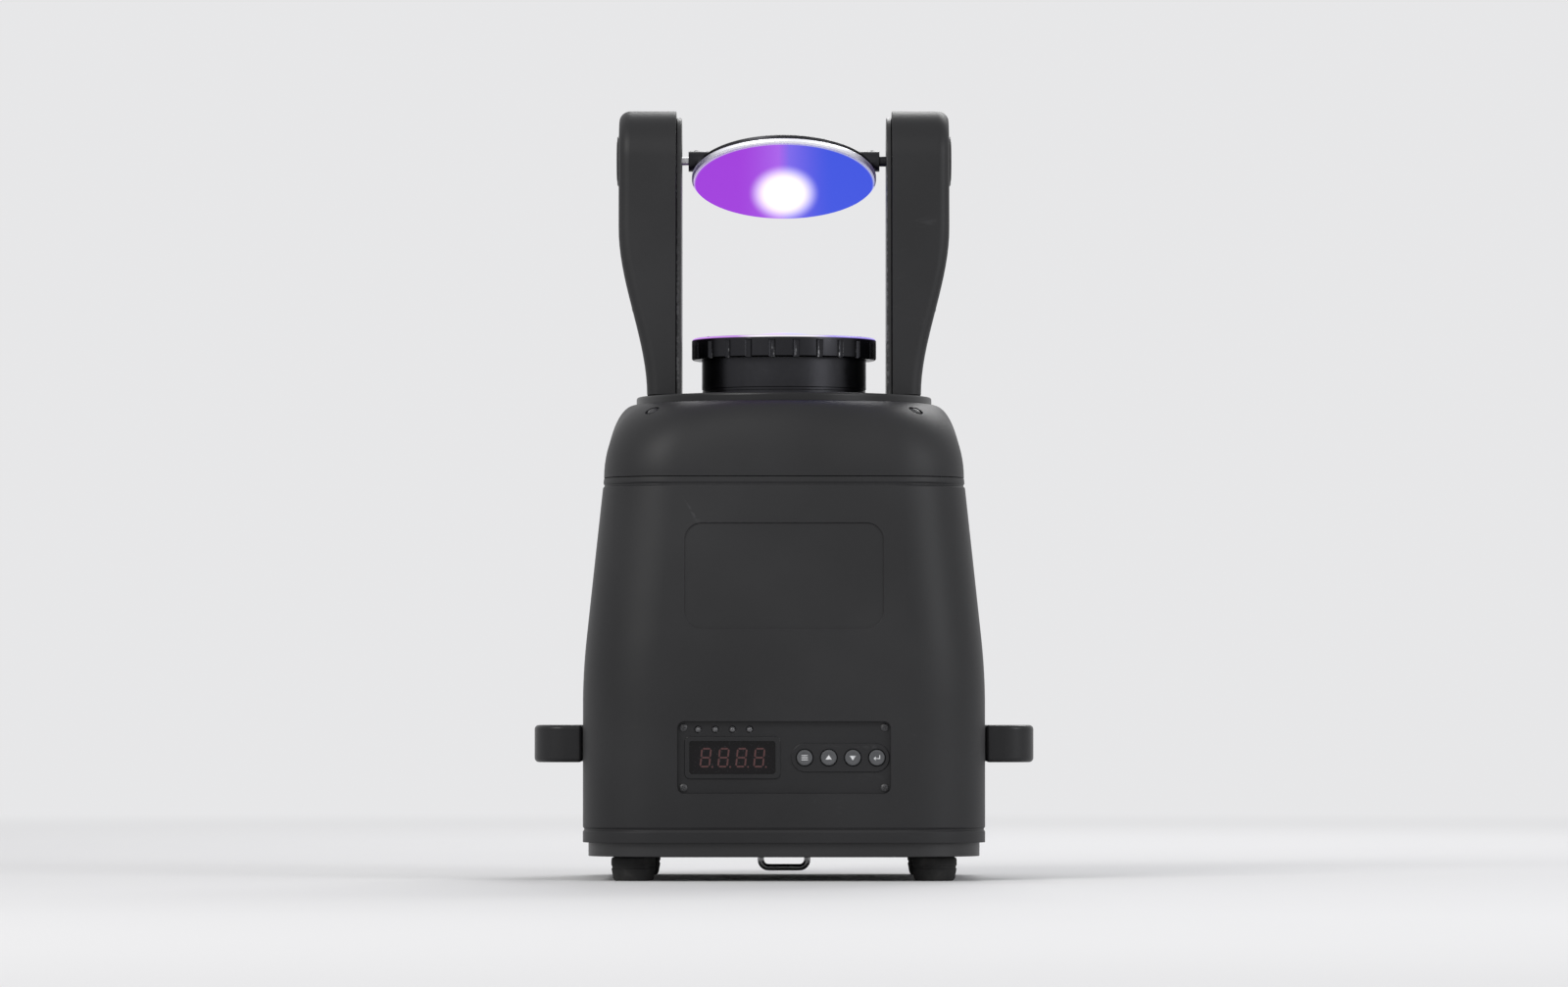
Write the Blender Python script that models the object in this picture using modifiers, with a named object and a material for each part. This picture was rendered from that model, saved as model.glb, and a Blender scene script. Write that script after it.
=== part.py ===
"""Upright LED scanner light. A fixed tower throws its light straight up through a front lens,
and a round mirror on a turning yoke above the lens sends the beam out and down.

Metres, +Z up, the front faces -Y. The origin is on the floor, under the middle of the tower.
"""

from math import acos, atan2, cos, hypot, pi, radians, sin

import bmesh
import bpy
from mathutils import Matrix, Vector

# Clearances
SEAT_GAP = 0.0003  # between faces that rest on each other
RUN_GAP = 0.0003  # round a shaft, rod or pin
SWING_GAP = 0.0010  # between the turntable and what it turns in
STEP = 0.0004  # a shape stands this far inside the one that it is joined to
FLUSH = 0.0001  # keeps the faces of two joined shapes apart

# Tower
BODY_HALF = 0.118  # half the width of the square base
FLAT_HALF = 0.074  # half the flat part of each side
TAPER = 0.012  # how far each side has drawn in where the shoulder begins
WALL = 0.003
FOOT_HEIGHT = 0.014
FOOT_RADIUS = 0.013
FOOT_INSET = 0.030  # from the tower's side to a foot's middle
TRAY_FLOOR = 0.0025
TRAY_HEIGHT = 0.020
TRAY_SHOWS = 0.008  # of the tray, under the shells
WAIST = 0.122  # height at which the tower starts to taper
SHOULDER_RISE = 0.045
CORNER_STEPS = 4
FLAT_STEPS = 3

# Vents in the tower's sides
VENT_COUNT = 7
VENT_WIDTH = 0.0035
VENT_PITCH = 0.0095
VENT_LENGTH = 0.044
VENT_FROM_SEAM = 0.014
VENT_DROP = 0.090  # from the shells' top edge to the lowest slot
INTAKE_SLOTS = 7
INTAKE_SLOT = 0.0036
INTAKE_PITCH = 0.0105

# Bracket pad under the tray
PAD_LENGTH = 0.176
PAD_WIDTH = 0.084
PAD_PROUD = 0.0015
RECEPTACLE_X = 0.070
RECEPTACLE_Y = 0.030
RECEPTACLE_RADIUS = 0.007

# Safety loop under the tray
LOOP_Y = 0.060
LOOP_WIDTH = 0.032
LOOP_BAR = 0.004
LOOP_LOW = 0.003

# Handles
HANDLE_LENGTH = 0.124
HANDLE_REACH = 0.029
HANDLE_BAR = 0.011
HANDLE_DEPTH = 0.022
HANDLE_HEIGHT = 0.080
HANDLE_FOOT = 0.013
HANDLE_EDGE = 0.0030

# Control panel
PANEL_HEIGHT = 0.072  # of the panel's middle over the floor
PANEL_OPENING = (0.124, 0.042)
PANEL_LAP = 0.005  # how far the plate runs behind the shell's edge
PANEL_THICK = 0.0025
PANEL_WINDOW = (0.050, 0.019)
WINDOW_MIDDLE = -0.030
WINDOW_THICK = 0.0015
WINDOW_LAP = 0.002
BUTTON_RADIUS = 0.0046
BUTTON_HOLE_GAP = 0.0004
BUTTON_PROUD = 0.0022
BUTTON_FLANGE = 0.0014
BUTTON_TRAVEL = 0.0010
BUTTON_FIRST = 0.012
BUTTON_PITCH = 0.0140
BUTTON_NAMES = ("menu", "up", "down", "enter")
SWITCH_RADIUS = 0.0018
BOARD_BEHIND = 0.0085
BOARD_THICK = 0.0016
POST_RADIUS = 0.003

# Connector plate
PLATE_HEIGHT = 0.070
PLATE_OPENING = (0.140, 0.058)
PLATE_LAP = 0.005
PLATE_THICK = 0.0020
FLANGE_THICK = 0.0024
INLET_X = -0.051
OUTLET_X = -0.016
DMX_IN_X = 0.018
DMX_OUT_X = 0.050
POWER_FLANGE = (0.031, 0.046)
POWER_BODY = (0.0270, 0.0195)
POWER_SOCKET = (0.0235, 0.0160)
POWER_RISE = 0.009  # the socket's middle over the plate's middle
POWER_DEPTH = 0.024
SOCKET_DEPTH = 0.0165
BLADE = (0.0020, 0.0040)
BLADE_LENGTH = 0.0090
BLADE_PITCH = 0.0070
BLADE_RISE = 0.0025
DRAWER_SIZE = (0.0215, 0.0068)
DRAWER_WALL = 0.0018
DRAWER_DROP = 0.0135
DRAWER_LENGTH = 0.018
GRIP_DEPTH = 0.0008  # of the drawer's nail recess
DMX_FLANGE = (0.026, 0.031)
DMX_RADIUS = 0.0115
DMX_DEPTH = 0.020
DMX_CUP_RADIUS = 0.0095
DMX_CUP_DEPTH = 0.011
DMX_PIN_RING = 0.0048
DMX_PIN_RADIUS = 0.0012
DMX_PIN_LENGTH = 0.0055
TAB_SIZE = (0.0080, 0.0036)
TAB_RISE = 0.0125
TAB_TRAVEL = 0.0010
TAB_PROUD = 0.0005

# Power supply
SUPPLY_SIZE = (0.150, 0.030, 0.088)
SUPPLY_STEP = 0.018  # the open end with the terminals
SUPPLY_CLEAR = 0.0044  # behind it, to the power connectors

# Fan and heat sink
FAN_SIDE = 0.092
FAN_DEPTH = 0.025
FAN_DUCT_RADIUS = 0.0425
FAN_HUB_RADIUS = 0.0190
FAN_TIP_GAP = 0.0015
FAN_BLADES = 7
FAN_BLADE_THICK = 0.0012
FAN_STRUT = 0.0056
FAN_STRUT_DEPTH = 0.0035
SINK_CLEAR = 0.009  # to the power supply
SINK_BASE = 0.008
FIN_COUNT = 13
FIN_THICK = 0.0022

# Optical train
SHEET = 0.0020  # thickness of the frames and plates
FRAME_CLEAR = 0.020  # from the base's inner wall to the frames' inner faces
FRAME_WIDTH = 0.120
FRAME_FLANGE = 0.008
FRAME_BAND = 0.014  # of sheet left round each window in a frame
LED_SIDE = 0.042
LED_RADIUS = 0.011
CONDENSER_CLEAR = 0.003  # to the gobo wheel's motor
CONDENSER_WALL = 0.003
CONDENSER_HEIGHT = 0.034
CONDENSER_FOOT = 0.008
CONDENSER_EDGE = 0.003
CONDENSER_DOME = 0.007
LENS_LEDGE = 0.0015  # under the edge of a lens
WHEEL_PAST_BEAM = 0.014  # how far each wheel reaches past the beam's axis
WHEEL_SPACE = 0.0050  # from the wheel plate to each wheel
WHEELS_DOWN = 0.094  # from the head plate to the wheel plate
LAMP_DOWN = 0.0493  # from there to the lamp plate
COLOUR_THICK = 0.0016
COLOUR_REACH = 0.016  # of the filters, inwards from the beam's axis
COLOUR_GAP = 0.0008
GOBO_THICK = 0.0010
GOBO_IMAGE = 0.0100  # radius of a pattern
APERTURE_RADIUS = 0.0135
SHAFT_RADIUS = 0.0025
HUB_RADIUS = 0.0080
HUB_HEIGHT = 0.0040
SMALL_MOTOR = 0.035
SMALL_MOTOR_LENGTH = 0.028
FOCUS_MOTOR = 0.028
PAN_MOTOR = 0.042
PAN_MOTOR_LENGTH = 0.034
MOTOR_BORE_DEPTH = 0.010

# Focus
FOCUS_SPARE = 0.0037  # left under the focus motor at the end of the travel
FOCUS_TRAVEL = 0.018
CARRIAGE_RADIUS = 0.031
CARRIAGE_THICK = 0.010
FOCUS_LENS_RADIUS = 0.026
FOCUS_LENS_EDGE = 0.0040
FOCUS_LENS_DOME = 0.0045
ROD_X = 0.048
ROD_RADIUS = 0.0025
SCREW_INSET = 0.037  # from the head plate's front edge to the focus screw
SCREW_RADIUS = 0.0030
SCREW_PAST = 0.006  # the screw goes on below the carriage
SCREW_SHOULDER = 0.002  # from the motor to the start of the thread
EYE_WALL = 0.0035

# Head plate and lens barrel
HEAD_PLATE_HEIGHT = 0.256
HEAD_PLATE_THICK = 0.0030
HEAD_PLATE_INSET = 0.013
HEAD_PLATE_OVER = 0.020  # from the shells' top edge up to the plate
HEAD_PLATE_CORNER = 0.030
BARREL_RADIUS = 0.049
BARREL_WALL = 0.005
BARREL_HEIGHT = 0.057
BARREL_FLANGE = 0.0030
BARREL_FLANGE_LAP = 0.009
FRONT_LENS_RADIUS = 0.046
FRONT_LENS_EDGE = 0.0040
FRONT_LENS_DOME = 0.0090
BEZEL_RADIUS = 0.055
BEZEL_HEIGHT = 0.013
BEZEL_LIP = 0.005
BEZEL_APERTURE = 0.0440
BEZEL_GRIPS = 12
GRIP_RADIUS = 0.0025

# Pan drive
BEARING_WIDTH = 0.009
RACE_THICK = 0.0045
BALL_RADIUS = 0.0030
BALL_COUNT = 10
HUB_WALL = 0.0053  # from the balls' track to the roots of the teeth
GEAR_TEETH = 54
PINION_TEETH = 12
TOOTH_DEEP = 1.20  # below the pitch circle, and
TOOTH_TALL = 0.92  # above it, in modules
GEAR_WIDTH = 0.0070
TOOTH_BACKLASH = 0.0006
PRESSURE_ANGLE = radians(20)
PINION_DIRECTION = radians(55)
TURNTABLE_RADIUS = 0.088
TURNTABLE_THICK = 0.005
TURNTABLE_PROUD = 0.005  # over the shoulder's rim
SKIRT_HEIGHT = 0.0045
SKIRT_WALL = 0.003

# Yoke and mirror
MIRROR_RADIUS = 0.055
MIRROR_THICK = 0.003
MIRROR_LIFT = 0.094  # from the bezel's top to the middle of the mirror's face
MIRROR_AHEAD = 0.013  # from the tilt axle to the mirror's face
MIRROR_REST_TILT = radians(20.6)  # from face down; the beam leaves at twice this from straight down
CARRIER_THICK = 0.0025
CARRIER_INSET = 0.0012
LUG_LENGTH = 0.012
LUG_PROUD = 0.002  # past the mirror's edge
LUG_WALL = 0.001  # between the shaft's end and the lug's inner face
LUG_RADIUS = 0.0062
YOKE_SIDE_GAP = 0.006  # from the mirror's edge to a yoke plate
YOKE_SHEET = 0.003
YOKE_FOOT_HALF = 0.032
YOKE_TOP_RADIUS = 0.026
COVER_LAP = 0.004
COVER_WALL = 0.0025
COVER_DEPTH = 0.034
COVER_FOOT_DEPTH = 0.017
COVER_EDGE = 0.007
PILOT_RADIUS = 0.011
PILOT_HEIGHT = 0.0018

# Sizes and heights that follow from those above
TOWER_HALF = BODY_HALF - TAPER
CORNER = BODY_HALF - FLAT_HALF  # radius of the upright corners
SHELL_TOP = HEAD_PLATE_HEIGHT - HEAD_PLATE_OVER
VENT_FIRST = SHELL_TOP - VENT_DROP
TRAY_Z = FOOT_HEIGHT + SEAT_GAP
TRAY_TOP_FACE = TRAY_Z + TRAY_FLOOR
SHELL_Z = TRAY_Z + TRAY_SHOWS
TRAY_HALF = BODY_HALF - WALL - SEAT_GAP
TRAY_CORNER = CORNER - WALL - SEAT_GAP
INNER_FACE = BODY_HALF - WALL  # the base's inner wall
HEAD_PLATE_HALF = TOWER_HALF - HEAD_PLATE_INSET
FRAME_HALF = INNER_FACE - FRAME_CLEAR
SUPPLY_BEHIND = INNER_FACE + FLANGE_THICK - POWER_DEPTH - SUPPLY_CLEAR - SUPPLY_SIZE[1]
SINK_SIDE = 2 * (SUPPLY_BEHIND - SINK_CLEAR)
WHEEL_RADIUS = (TOWER_HALF + WHEEL_PAST_BEAM) / 2
WHEEL_OFFSET = WHEEL_RADIUS - WHEEL_PAST_BEAM  # from the beam to each wheel's axle
COLOUR_HUB = WHEEL_OFFSET - COLOUR_REACH
CONDENSER_TUBE = WHEEL_OFFSET - SMALL_MOTOR / 2 - CONDENSER_CLEAR
CONDENSER_RADIUS = CONDENSER_TUBE - CONDENSER_WALL
SCREW_Y = SCREW_INSET - HEAD_PLATE_HALF
WHEEL_PLATE_HEIGHT = HEAD_PLATE_HEIGHT - WHEELS_DOWN
LAMP_PLATE_Z = WHEEL_PLATE_HEIGHT - LAMP_DOWN
FOCUS_MOTOR_END = HEAD_PLATE_HEIGHT - SEAT_GAP - SMALL_MOTOR_LENGTH
FOCUS_HEIGHT = FOCUS_MOTOR_END - FOCUS_SPARE - FOCUS_TRAVEL - CARRIAGE_THICK  # of the carriage at rest
FAN_Z = TRAY_TOP_FACE + SEAT_GAP
SINK_Z = FAN_Z + FAN_DEPTH + SEAT_GAP
SINK_HEIGHT = LAMP_PLATE_Z - SEAT_GAP - SINK_Z
CONDENSER_Z = LAMP_PLATE_Z + SHEET + SEAT_GAP
COLOUR_Z = WHEEL_PLATE_HEIGHT - WHEEL_SPACE - COLOUR_THICK
GOBO_Z = WHEEL_PLATE_HEIGHT + SHEET + WHEEL_SPACE
BARREL_Z = HEAD_PLATE_HEIGHT + HEAD_PLATE_THICK + SEAT_GAP
BARREL_TOP = BARREL_Z + BARREL_HEIGHT
BEARING_Z = BARREL_Z + BARREL_FLANGE + SEAT_GAP
BEZEL_TOP = BARREL_TOP + BEZEL_LIP
SHOULDER_Z = SHELL_TOP + SEAT_GAP
SHOULDER_TOP = SHOULDER_Z + SHOULDER_RISE
TURNTABLE_TOP = SHOULDER_TOP + TURNTABLE_PROUD
RACE_RADIUS = BARREL_RADIUS + RUN_GAP
BALL_RING = RACE_RADIUS + RACE_THICK + 0.6 * BALL_RADIUS
HUB_BORE = BALL_RING + BALL_RADIUS + 2 * RUN_GAP
GEAR_MODULE = 2 * (HUB_BORE + HUB_WALL) / (GEAR_TEETH - 2 * TOOTH_DEEP)
GEAR_RADIUS = GEAR_MODULE * GEAR_TEETH / 2
PINION_RADIUS = GEAR_MODULE * PINION_TEETH / 2
GEAR_CENTRES = GEAR_RADIUS + PINION_RADIUS
GEAR_Z = BEARING_Z + SWING_GAP
YOKE_Z = TURNTABLE_TOP + SEAT_GAP
YOKE_X = MIRROR_RADIUS + YOKE_SIDE_GAP
LUG_OUTER = MIRROR_RADIUS + LUG_PROUD
LUG_INNER = LUG_OUTER - LUG_LENGTH
TILT_Z = BEZEL_TOP + MIRROR_LIFT + MIRROR_AHEAD * cos(MIRROR_REST_TILT)
COVER_X = YOKE_X + YOKE_SHEET + SEAT_GAP
PINION_AT = (
    GEAR_CENTRES * cos(PINION_DIRECTION),
    GEAR_CENTRES * sin(PINION_DIRECTION),
)

# Round shapes: sides to a full turn
FINE, MEDIUM, COARSE = 28, 16, 12


# Scene and materials


def clear_scene():
    for obj in list(bpy.data.objects):
        bpy.data.objects.remove(obj)


clear_scene()
PART = bpy.data.collections.new("led_scanner_light")
HELPERS = bpy.data.collections.new("cutters_and_additions")
for group in (PART, HELPERS):
    bpy.context.scene.collection.children.link(group)

FINISHES = {
    "housing": ((0.018, 0.018, 0.020), 0.55, 0.0),
    "painted_metal": ((0.025, 0.025, 0.027), 0.45, 0.0),
    "rubber": ((0.015, 0.015, 0.015), 0.85, 0.0),
    "sheet_metal": ((0.55, 0.56, 0.58), 0.35, 1.0),
    "aluminium": ((0.75, 0.76, 0.78), 0.30, 1.0),
    "black_aluminium": ((0.030, 0.030, 0.032), 0.35, 0.6),
    "steel": ((0.60, 0.60, 0.60), 0.30, 1.0),
    "motor": ((0.060, 0.060, 0.065), 0.40, 0.5),
    "bearing": ((0.70, 0.70, 0.70), 0.20, 1.0),
    "circuit_board": ((0.020, 0.110, 0.050), 0.45, 0.0),
    "glass": ((0.85, 0.90, 0.92), 0.05, 0.0),
    "mirror": ((0.90, 0.91, 0.93), 0.02, 1.0),
    "screen": ((0.020, 0.030, 0.060), 0.10, 0.0),
    "button": ((0.10, 0.10, 0.11), 0.50, 0.0),
    "brass": ((0.78, 0.60, 0.28), 0.30, 1.0),
    "filters": ((0.60, 0.10, 0.85), 0.08, 0.0),
    "connector": ((0.020, 0.020, 0.020), 0.50, 0.0),
    "emitter": ((0.95, 0.85, 0.35), 0.40, 0.0),
}


def material(name):
    found = bpy.data.materials.get(name)
    if found:
        return found
    colour, roughness, metallic = FINISHES[name]
    made = bpy.data.materials.new(name)
    made.use_nodes = True
    shader = made.node_tree.nodes["Principled BSDF"]
    shader.inputs["Base Color"].default_value = (*colour, 1)
    shader.inputs["Roughness"].default_value = roughness
    shader.inputs["Metallic"].default_value = metallic
    made.diffuse_color = (*colour, 1)
    return made


# Making and joining shapes


def axis_empty(name, at):
    empty = bpy.data.objects.new(name, None)
    empty.location = at
    PART.objects.link(empty)
    return empty


def put(obj, at=(0, 0, 0), turn=(0, 0, 0), on=None):
    """Places an object in the world, or on the empty that its body turns or slides with."""
    base = on.location if on else Vector((0, 0, 0))
    obj.location = Vector(at) - base
    obj.rotation_euler = turn
    obj.parent = on
    return obj


def node(name, mesh, finish):
    """A piece of the object, one closed body with its own material."""
    obj = bpy.data.objects.new(name, mesh)
    PART.objects.link(obj)
    mesh.materials.clear()
    mesh.materials.append(material(finish))
    return obj


def helper(name, mesh):
    """A cutter, or a shape that a Boolean joins to a piece."""
    obj = bpy.data.objects.new(name, mesh)
    HELPERS.objects.link(obj)
    obj.hide_render = True
    obj.display_type = "WIRE"
    return obj


def combine(obj, other, operation):
    boolean = obj.modifiers.new(other.name, "BOOLEAN")
    boolean.operation = operation
    boolean.object = other
    other.location = obj.location
    other.rotation_euler = obj.rotation_euler
    other.parent = obj.parent
    return obj


def cut(obj, mesh):
    """Takes a mesh, drawn in obj's own coordinates, out of obj."""
    return combine(obj, helper(f"{obj.name}_cut_{len(obj.modifiers)}", mesh), "DIFFERENCE")


def add(obj, mesh):
    """Joins a mesh, drawn in obj's own coordinates, to obj."""
    return combine(obj, helper(f"{obj.name}_add_{len(obj.modifiers)}", mesh), "UNION")


def to_mesh(bm, name="shape", smooth=True):
    mesh = bpy.data.meshes.new(name)
    bm.to_mesh(mesh)
    bm.free()
    if smooth:
        mesh.shade_smooth()
        mesh.set_sharp_from_angle(angle=radians(32))
    return mesh


def boxes(*spans):
    """One mesh of boxes, each given as its low corner and high corner."""
    bm = bmesh.new()
    for low, high in spans:
        low, high = Vector(low), Vector(high)
        size = high - low
        place = Matrix.Translation((low + high) / 2) @ Matrix.Diagonal((*size, 1))
        bmesh.ops.create_cube(bm, size=1, matrix=place)
    return to_mesh(bm, "boxes", smooth=False)


TURN_TO = {
    "Z": Matrix.Identity(4),
    "X": Matrix.Rotation(pi / 2, 4, "Y"),
    "Y": Matrix.Rotation(-pi / 2, 4, "X"),
}


def rods(radius, low, high, places, axis="Z", sides=COARSE):
    """One mesh of round rods from low to high along an axis, at places given by the other two coordinates."""
    bm = bmesh.new()
    middle = (low + high) / 2
    for u, v in places:
        centre = {"Z": (u, v, middle), "X": (middle, u, v), "Y": (u, middle, v)}[axis]
        bmesh.ops.create_cone(
            bm,
            cap_ends=True,
            segments=sides,
            radius1=radius,
            radius2=radius,
            depth=high - low,
            matrix=Matrix.Translation(centre) @ TURN_TO[axis],
        )
    return to_mesh(bm, "rods")


def turned(name, finish, profile, sides=FINE, ring=True):
    """A turned piece. Its profile runs down the outer side, and a ring's goes on back up the bore."""
    bm = bmesh.new()
    points = [bm.verts.new((r, 0, z)) for r, z in profile]
    for a, b in zip(points, points[1:]):
        bm.edges.new((a, b))
    if ring:
        bm.edges.new((points[-1], points[0]))
    obj = node(name, to_mesh(bm, name, smooth=False), finish)
    screw = obj.modifiers.new("turn", "SCREW")
    screw.axis = "Z"
    screw.steps = sides
    screw.render_steps = sides
    screw.use_merge_vertices = True
    screw.merge_threshold = 0.00001
    screw.use_smooth_shade = False
    return obj


def circle(radius, sides, centre=(0, 0), start=0.0):
    angles = [start + 2 * pi * k / sides for k in range(sides)]
    return [(centre[0] + radius * cos(a), centre[1] + radius * sin(a)) for a in angles]


def dome(radius, low, rise, steps=3):
    """The profile of a lens face, from its crown on the axis down to its edge."""
    angles = [pi / 2 * k / steps for k in range(steps + 1)]
    return [(radius * sin(a), low + rise * cos(a)) for a in angles]


def arc(radius, start, end, steps, centre=(0, 0)):
    angles = [start + (end - start) * k / steps for k in range(steps + 1)]
    return [(centre[0] + radius * cos(a), centre[1] + radius * sin(a)) for a in angles]


def turned_point(point, centre, turn):
    x, y = point
    return (centre[0] + x * cos(turn) - y * sin(turn), centre[1] + x * sin(turn) + y * cos(turn))


def rectangle(width, height, centre=(0, 0)):
    x, y = centre
    return [
        (x - width / 2, y - height / 2),
        (x + width / 2, y - height / 2),
        (x + width / 2, y + height / 2),
        (x - width / 2, y + height / 2),
    ]


def rounded_rectangle(width, height, radius, steps=2, centre=(0, 0)):
    points = []
    for k, (sx, sy) in enumerate(((1, -1), (1, 1), (-1, 1), (-1, -1))):
        middle = (
            centre[0] + sx * (width / 2 - radius),
            centre[1] + sy * (height / 2 - radius),
        )
        start = (k - 1) * pi / 2
        points += arc(radius, start, start + pi / 2, steps, middle)
    return points


PLANES = {
    "XY": Matrix.Identity(4),
    "YZ": Matrix(((0, 0, 1, 0), (1, 0, 0, 0), (0, 1, 0, 0), (0, 0, 0, 1))),
    "XZ": Matrix(((1, 0, 0, 0), (0, 0, -1, 0), (0, 1, 0, 0), (0, 0, 0, 1))),
}


def flat(loops, low, high, plane="XY"):
    """The mesh of a flat outline with holes, from low to high across its plane. XZ measures towards -Y."""
    curve = bpy.data.curves.new("outline", "CURVE")
    curve.dimensions = "2D"
    curve.fill_mode = "BOTH"
    curve.extrude = (high - low) / 2
    for loop in loops:
        spline = curve.splines.new("POLY")
        spline.points.add(len(loop) - 1)
        for point, (u, v) in zip(spline.points, loop):
            point.co = (u, v, 0, 1)
        spline.use_cyclic_u = True
    drawn = bpy.data.objects.new("outline", curve)
    HELPERS.objects.link(drawn)
    graph = bpy.context.evaluated_depsgraph_get()
    mesh = bpy.data.meshes.new_from_object(drawn.evaluated_get(graph))
    bpy.data.objects.remove(drawn)
    bm = bmesh.new()
    bm.from_mesh(mesh)
    bmesh.ops.remove_doubles(bm, verts=bm.verts, dist=0.00001)
    bmesh.ops.recalc_face_normals(bm, faces=bm.faces)
    bmesh.ops.translate(bm, verts=bm.verts, vec=(0, 0, (low + high) / 2))
    bm.transform(PLANES[plane])
    return to_mesh(bm, "flat")


def loft(rings, closed_ring, cap_pairs=False):
    """An open surface through rings of points, and over the last ring in strips if cap_pairs is set."""
    bm = bmesh.new()
    rows = [[bm.verts.new(p) for p in ring] for ring in rings]
    count = len(rows[0])
    for low, high in zip(rows, rows[1:]):
        for k in range(count if closed_ring else count - 1):
            n = (k + 1) % count
            bm.faces.new((low[k], low[n], high[n], high[k]))
    if cap_pairs:
        last = rows[-1]
        for k in range(count // 2 - 1):
            bm.faces.new((last[k], last[k + 1], last[count - 2 - k], last[count - 1 - k]))
        if count % 2:
            middle = count // 2
            bm.faces.new((last[middle - 1], last[middle], last[middle + 1]))
    return to_mesh(bm, "loft")


def thicken(obj, wall):
    """Gives an open surface its wall, on the inner side."""
    solidify = obj.modifiers.new("wall", "SOLIDIFY")
    solidify.thickness = wall
    solidify.offset = -1
    solidify.use_even_offset = True
    return obj


def round_edges(obj, width, segments=1, angle=radians(50)):
    bevel = obj.modifiers.new("edges", "BEVEL")
    bevel.width = width
    bevel.segments = segments
    bevel.limit_method = "ANGLE"
    bevel.angle_limit = angle
    return obj


# Tower: feet, tray, shells, shoulder and handles


def half_outline(half, corner, y_seam):
    """The front half of a square with round corners, from the left seam round to the right one."""
    flat_end = half - corner
    points = [(-half, -y_seam)]
    points += arc(corner, pi, 1.5 * pi, CORNER_STEPS, (-flat_end, -flat_end))
    points += arc(corner, 1.5 * pi, 2 * pi, CORNER_STEPS, (flat_end, -flat_end))
    points.append((half, -y_seam))
    return points


def make_feet():
    spread = BODY_HALF - FOOT_INSET
    for y_name, y in (("front", -spread), ("rear", spread)):
        for x_name, x in (("left", -spread), ("right", spread)):
            foot = turned(
                f"foot_{y_name}_{x_name}",
                "rubber",
                [
                    (0, FOOT_HEIGHT),
                    (FOOT_RADIUS, FOOT_HEIGHT),
                    (FOOT_RADIUS, 0.6 * FOOT_HEIGHT),
                    (0.86 * FOOT_RADIUS, 0),
                    (0, 0),
                ],
                sides=COARSE,
                ring=False,
            )
            put(foot, (x, y, 0))


def make_tray():
    outside = rounded_rectangle(2 * TRAY_HALF, 2 * TRAY_HALF, TRAY_CORNER, CORNER_STEPS)
    inner_half = TRAY_HALF - TRAY_FLOOR
    inside = rounded_rectangle(2 * inner_half, 2 * inner_half, TRAY_CORNER - TRAY_FLOOR, CORNER_STEPS)
    tray = node("base_tray", flat([outside], TRAY_Z, TRAY_Z + TRAY_HEIGHT), "painted_metal")
    cut(tray, flat([inside], TRAY_TOP_FACE, TRAY_Z + 2 * TRAY_HEIGHT))
    pad = rounded_rectangle(PAD_LENGTH, PAD_WIDTH, RECEPTACLE_RADIUS, 2)
    add(tray, flat([pad], TRAY_Z - PAD_PROUD, TRAY_Z + TRAY_FLOOR / 2))
    add(tray, safety_loop())
    slots = []
    for k in range(INTAKE_SLOTS):
        y = (k - (INTAKE_SLOTS - 1) / 2) * INTAKE_PITCH
        reach = (FAN_DUCT_RADIUS**2 - y**2) ** 0.5 - INTAKE_SLOT
        low, high = TRAY_Z - 2 * PAD_PROUD, TRAY_TOP_FACE + TRAY_FLOOR
        slots.append(((-reach, y - INTAKE_SLOT / 2, low), (reach, y + INTAKE_SLOT / 2, high)))
    cut(tray, boxes(*slots))
    places = [(sx * RECEPTACLE_X, sy * RECEPTACLE_Y) for sx in (-1, 1) for sy in (-1, 1)]
    cut(tray, rods(RECEPTACLE_RADIUS, TRAY_Z - 2 * PAD_PROUD, TRAY_TOP_FACE + TRAY_FLOOR, places))


def safety_loop():
    """A flat steel loop that hangs from the tray, for a safety cable."""
    root = TRAY_Z + TRAY_FLOOR / 2
    drop = root - LOOP_LOW
    half, bar = LOOP_WIDTH / 2, LOOP_BAR
    outside = [(-half, root), (-half, LOOP_LOW + drop / 2), (-half + drop / 2, LOOP_LOW)]
    outside += [(-x, z) for x, z in reversed(outside)]
    sill = TRAY_Z - SEAT_GAP
    inside = [(-half + bar, sill), (-half + bar, LOOP_LOW + drop / 2), (-half + drop / 2, LOOP_LOW + bar)]
    inside += [(-x, z) for x, z in reversed(inside)]
    return rear_flat([outside, inside], LOOP_Y - bar / 2, LOOP_Y + bar / 2)


def vent_slots(side_y):
    """Cutters for the slots in both flanks of one shell. side_y is -1 for the front shell."""
    spans = []
    for sx in (-1, 1):
        for k in range(VENT_COUNT):
            z = VENT_FIRST + k * VENT_PITCH
            near, far = VENT_FROM_SEAM, VENT_FROM_SEAM + VENT_LENGTH
            y0, y1 = sorted((side_y * near, side_y * far))
            x0, x1 = sorted((sx * (TOWER_HALF - 2 * WALL), sx * (BODY_HALF + WALL)))
            spans.append(((x0, y0, z - VENT_WIDTH / 2), (x1, y1, z + VENT_WIDTH / 2)))
    return boxes(*spans)


def make_shell(name, side_y, opening, opening_height):
    levels = ((SHELL_Z, BODY_HALF), (WAIST, BODY_HALF), (SHELL_TOP, TOWER_HALF))
    rings = []
    for z, half in levels:
        outline = half_outline(half, CORNER, SEAT_GAP / 2)
        turn = 1 if side_y < 0 else -1
        rings.append([(turn * x, turn * y, z) for x, y in outline])
    shell = thicken(node(name, loft(rings, closed_ring=False), "housing"), WALL)
    hole = rounded_rectangle(*opening, 0.004, 2, (0, opening_height))
    near, far = BODY_HALF - 4 * WALL, BODY_HALF + WALL
    low, high = (near, far) if side_y < 0 else (-far, -near)
    cut(shell, flat([hole], low, high, "XZ"))
    cut(shell, vent_slots(side_y))
    return shell


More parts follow.
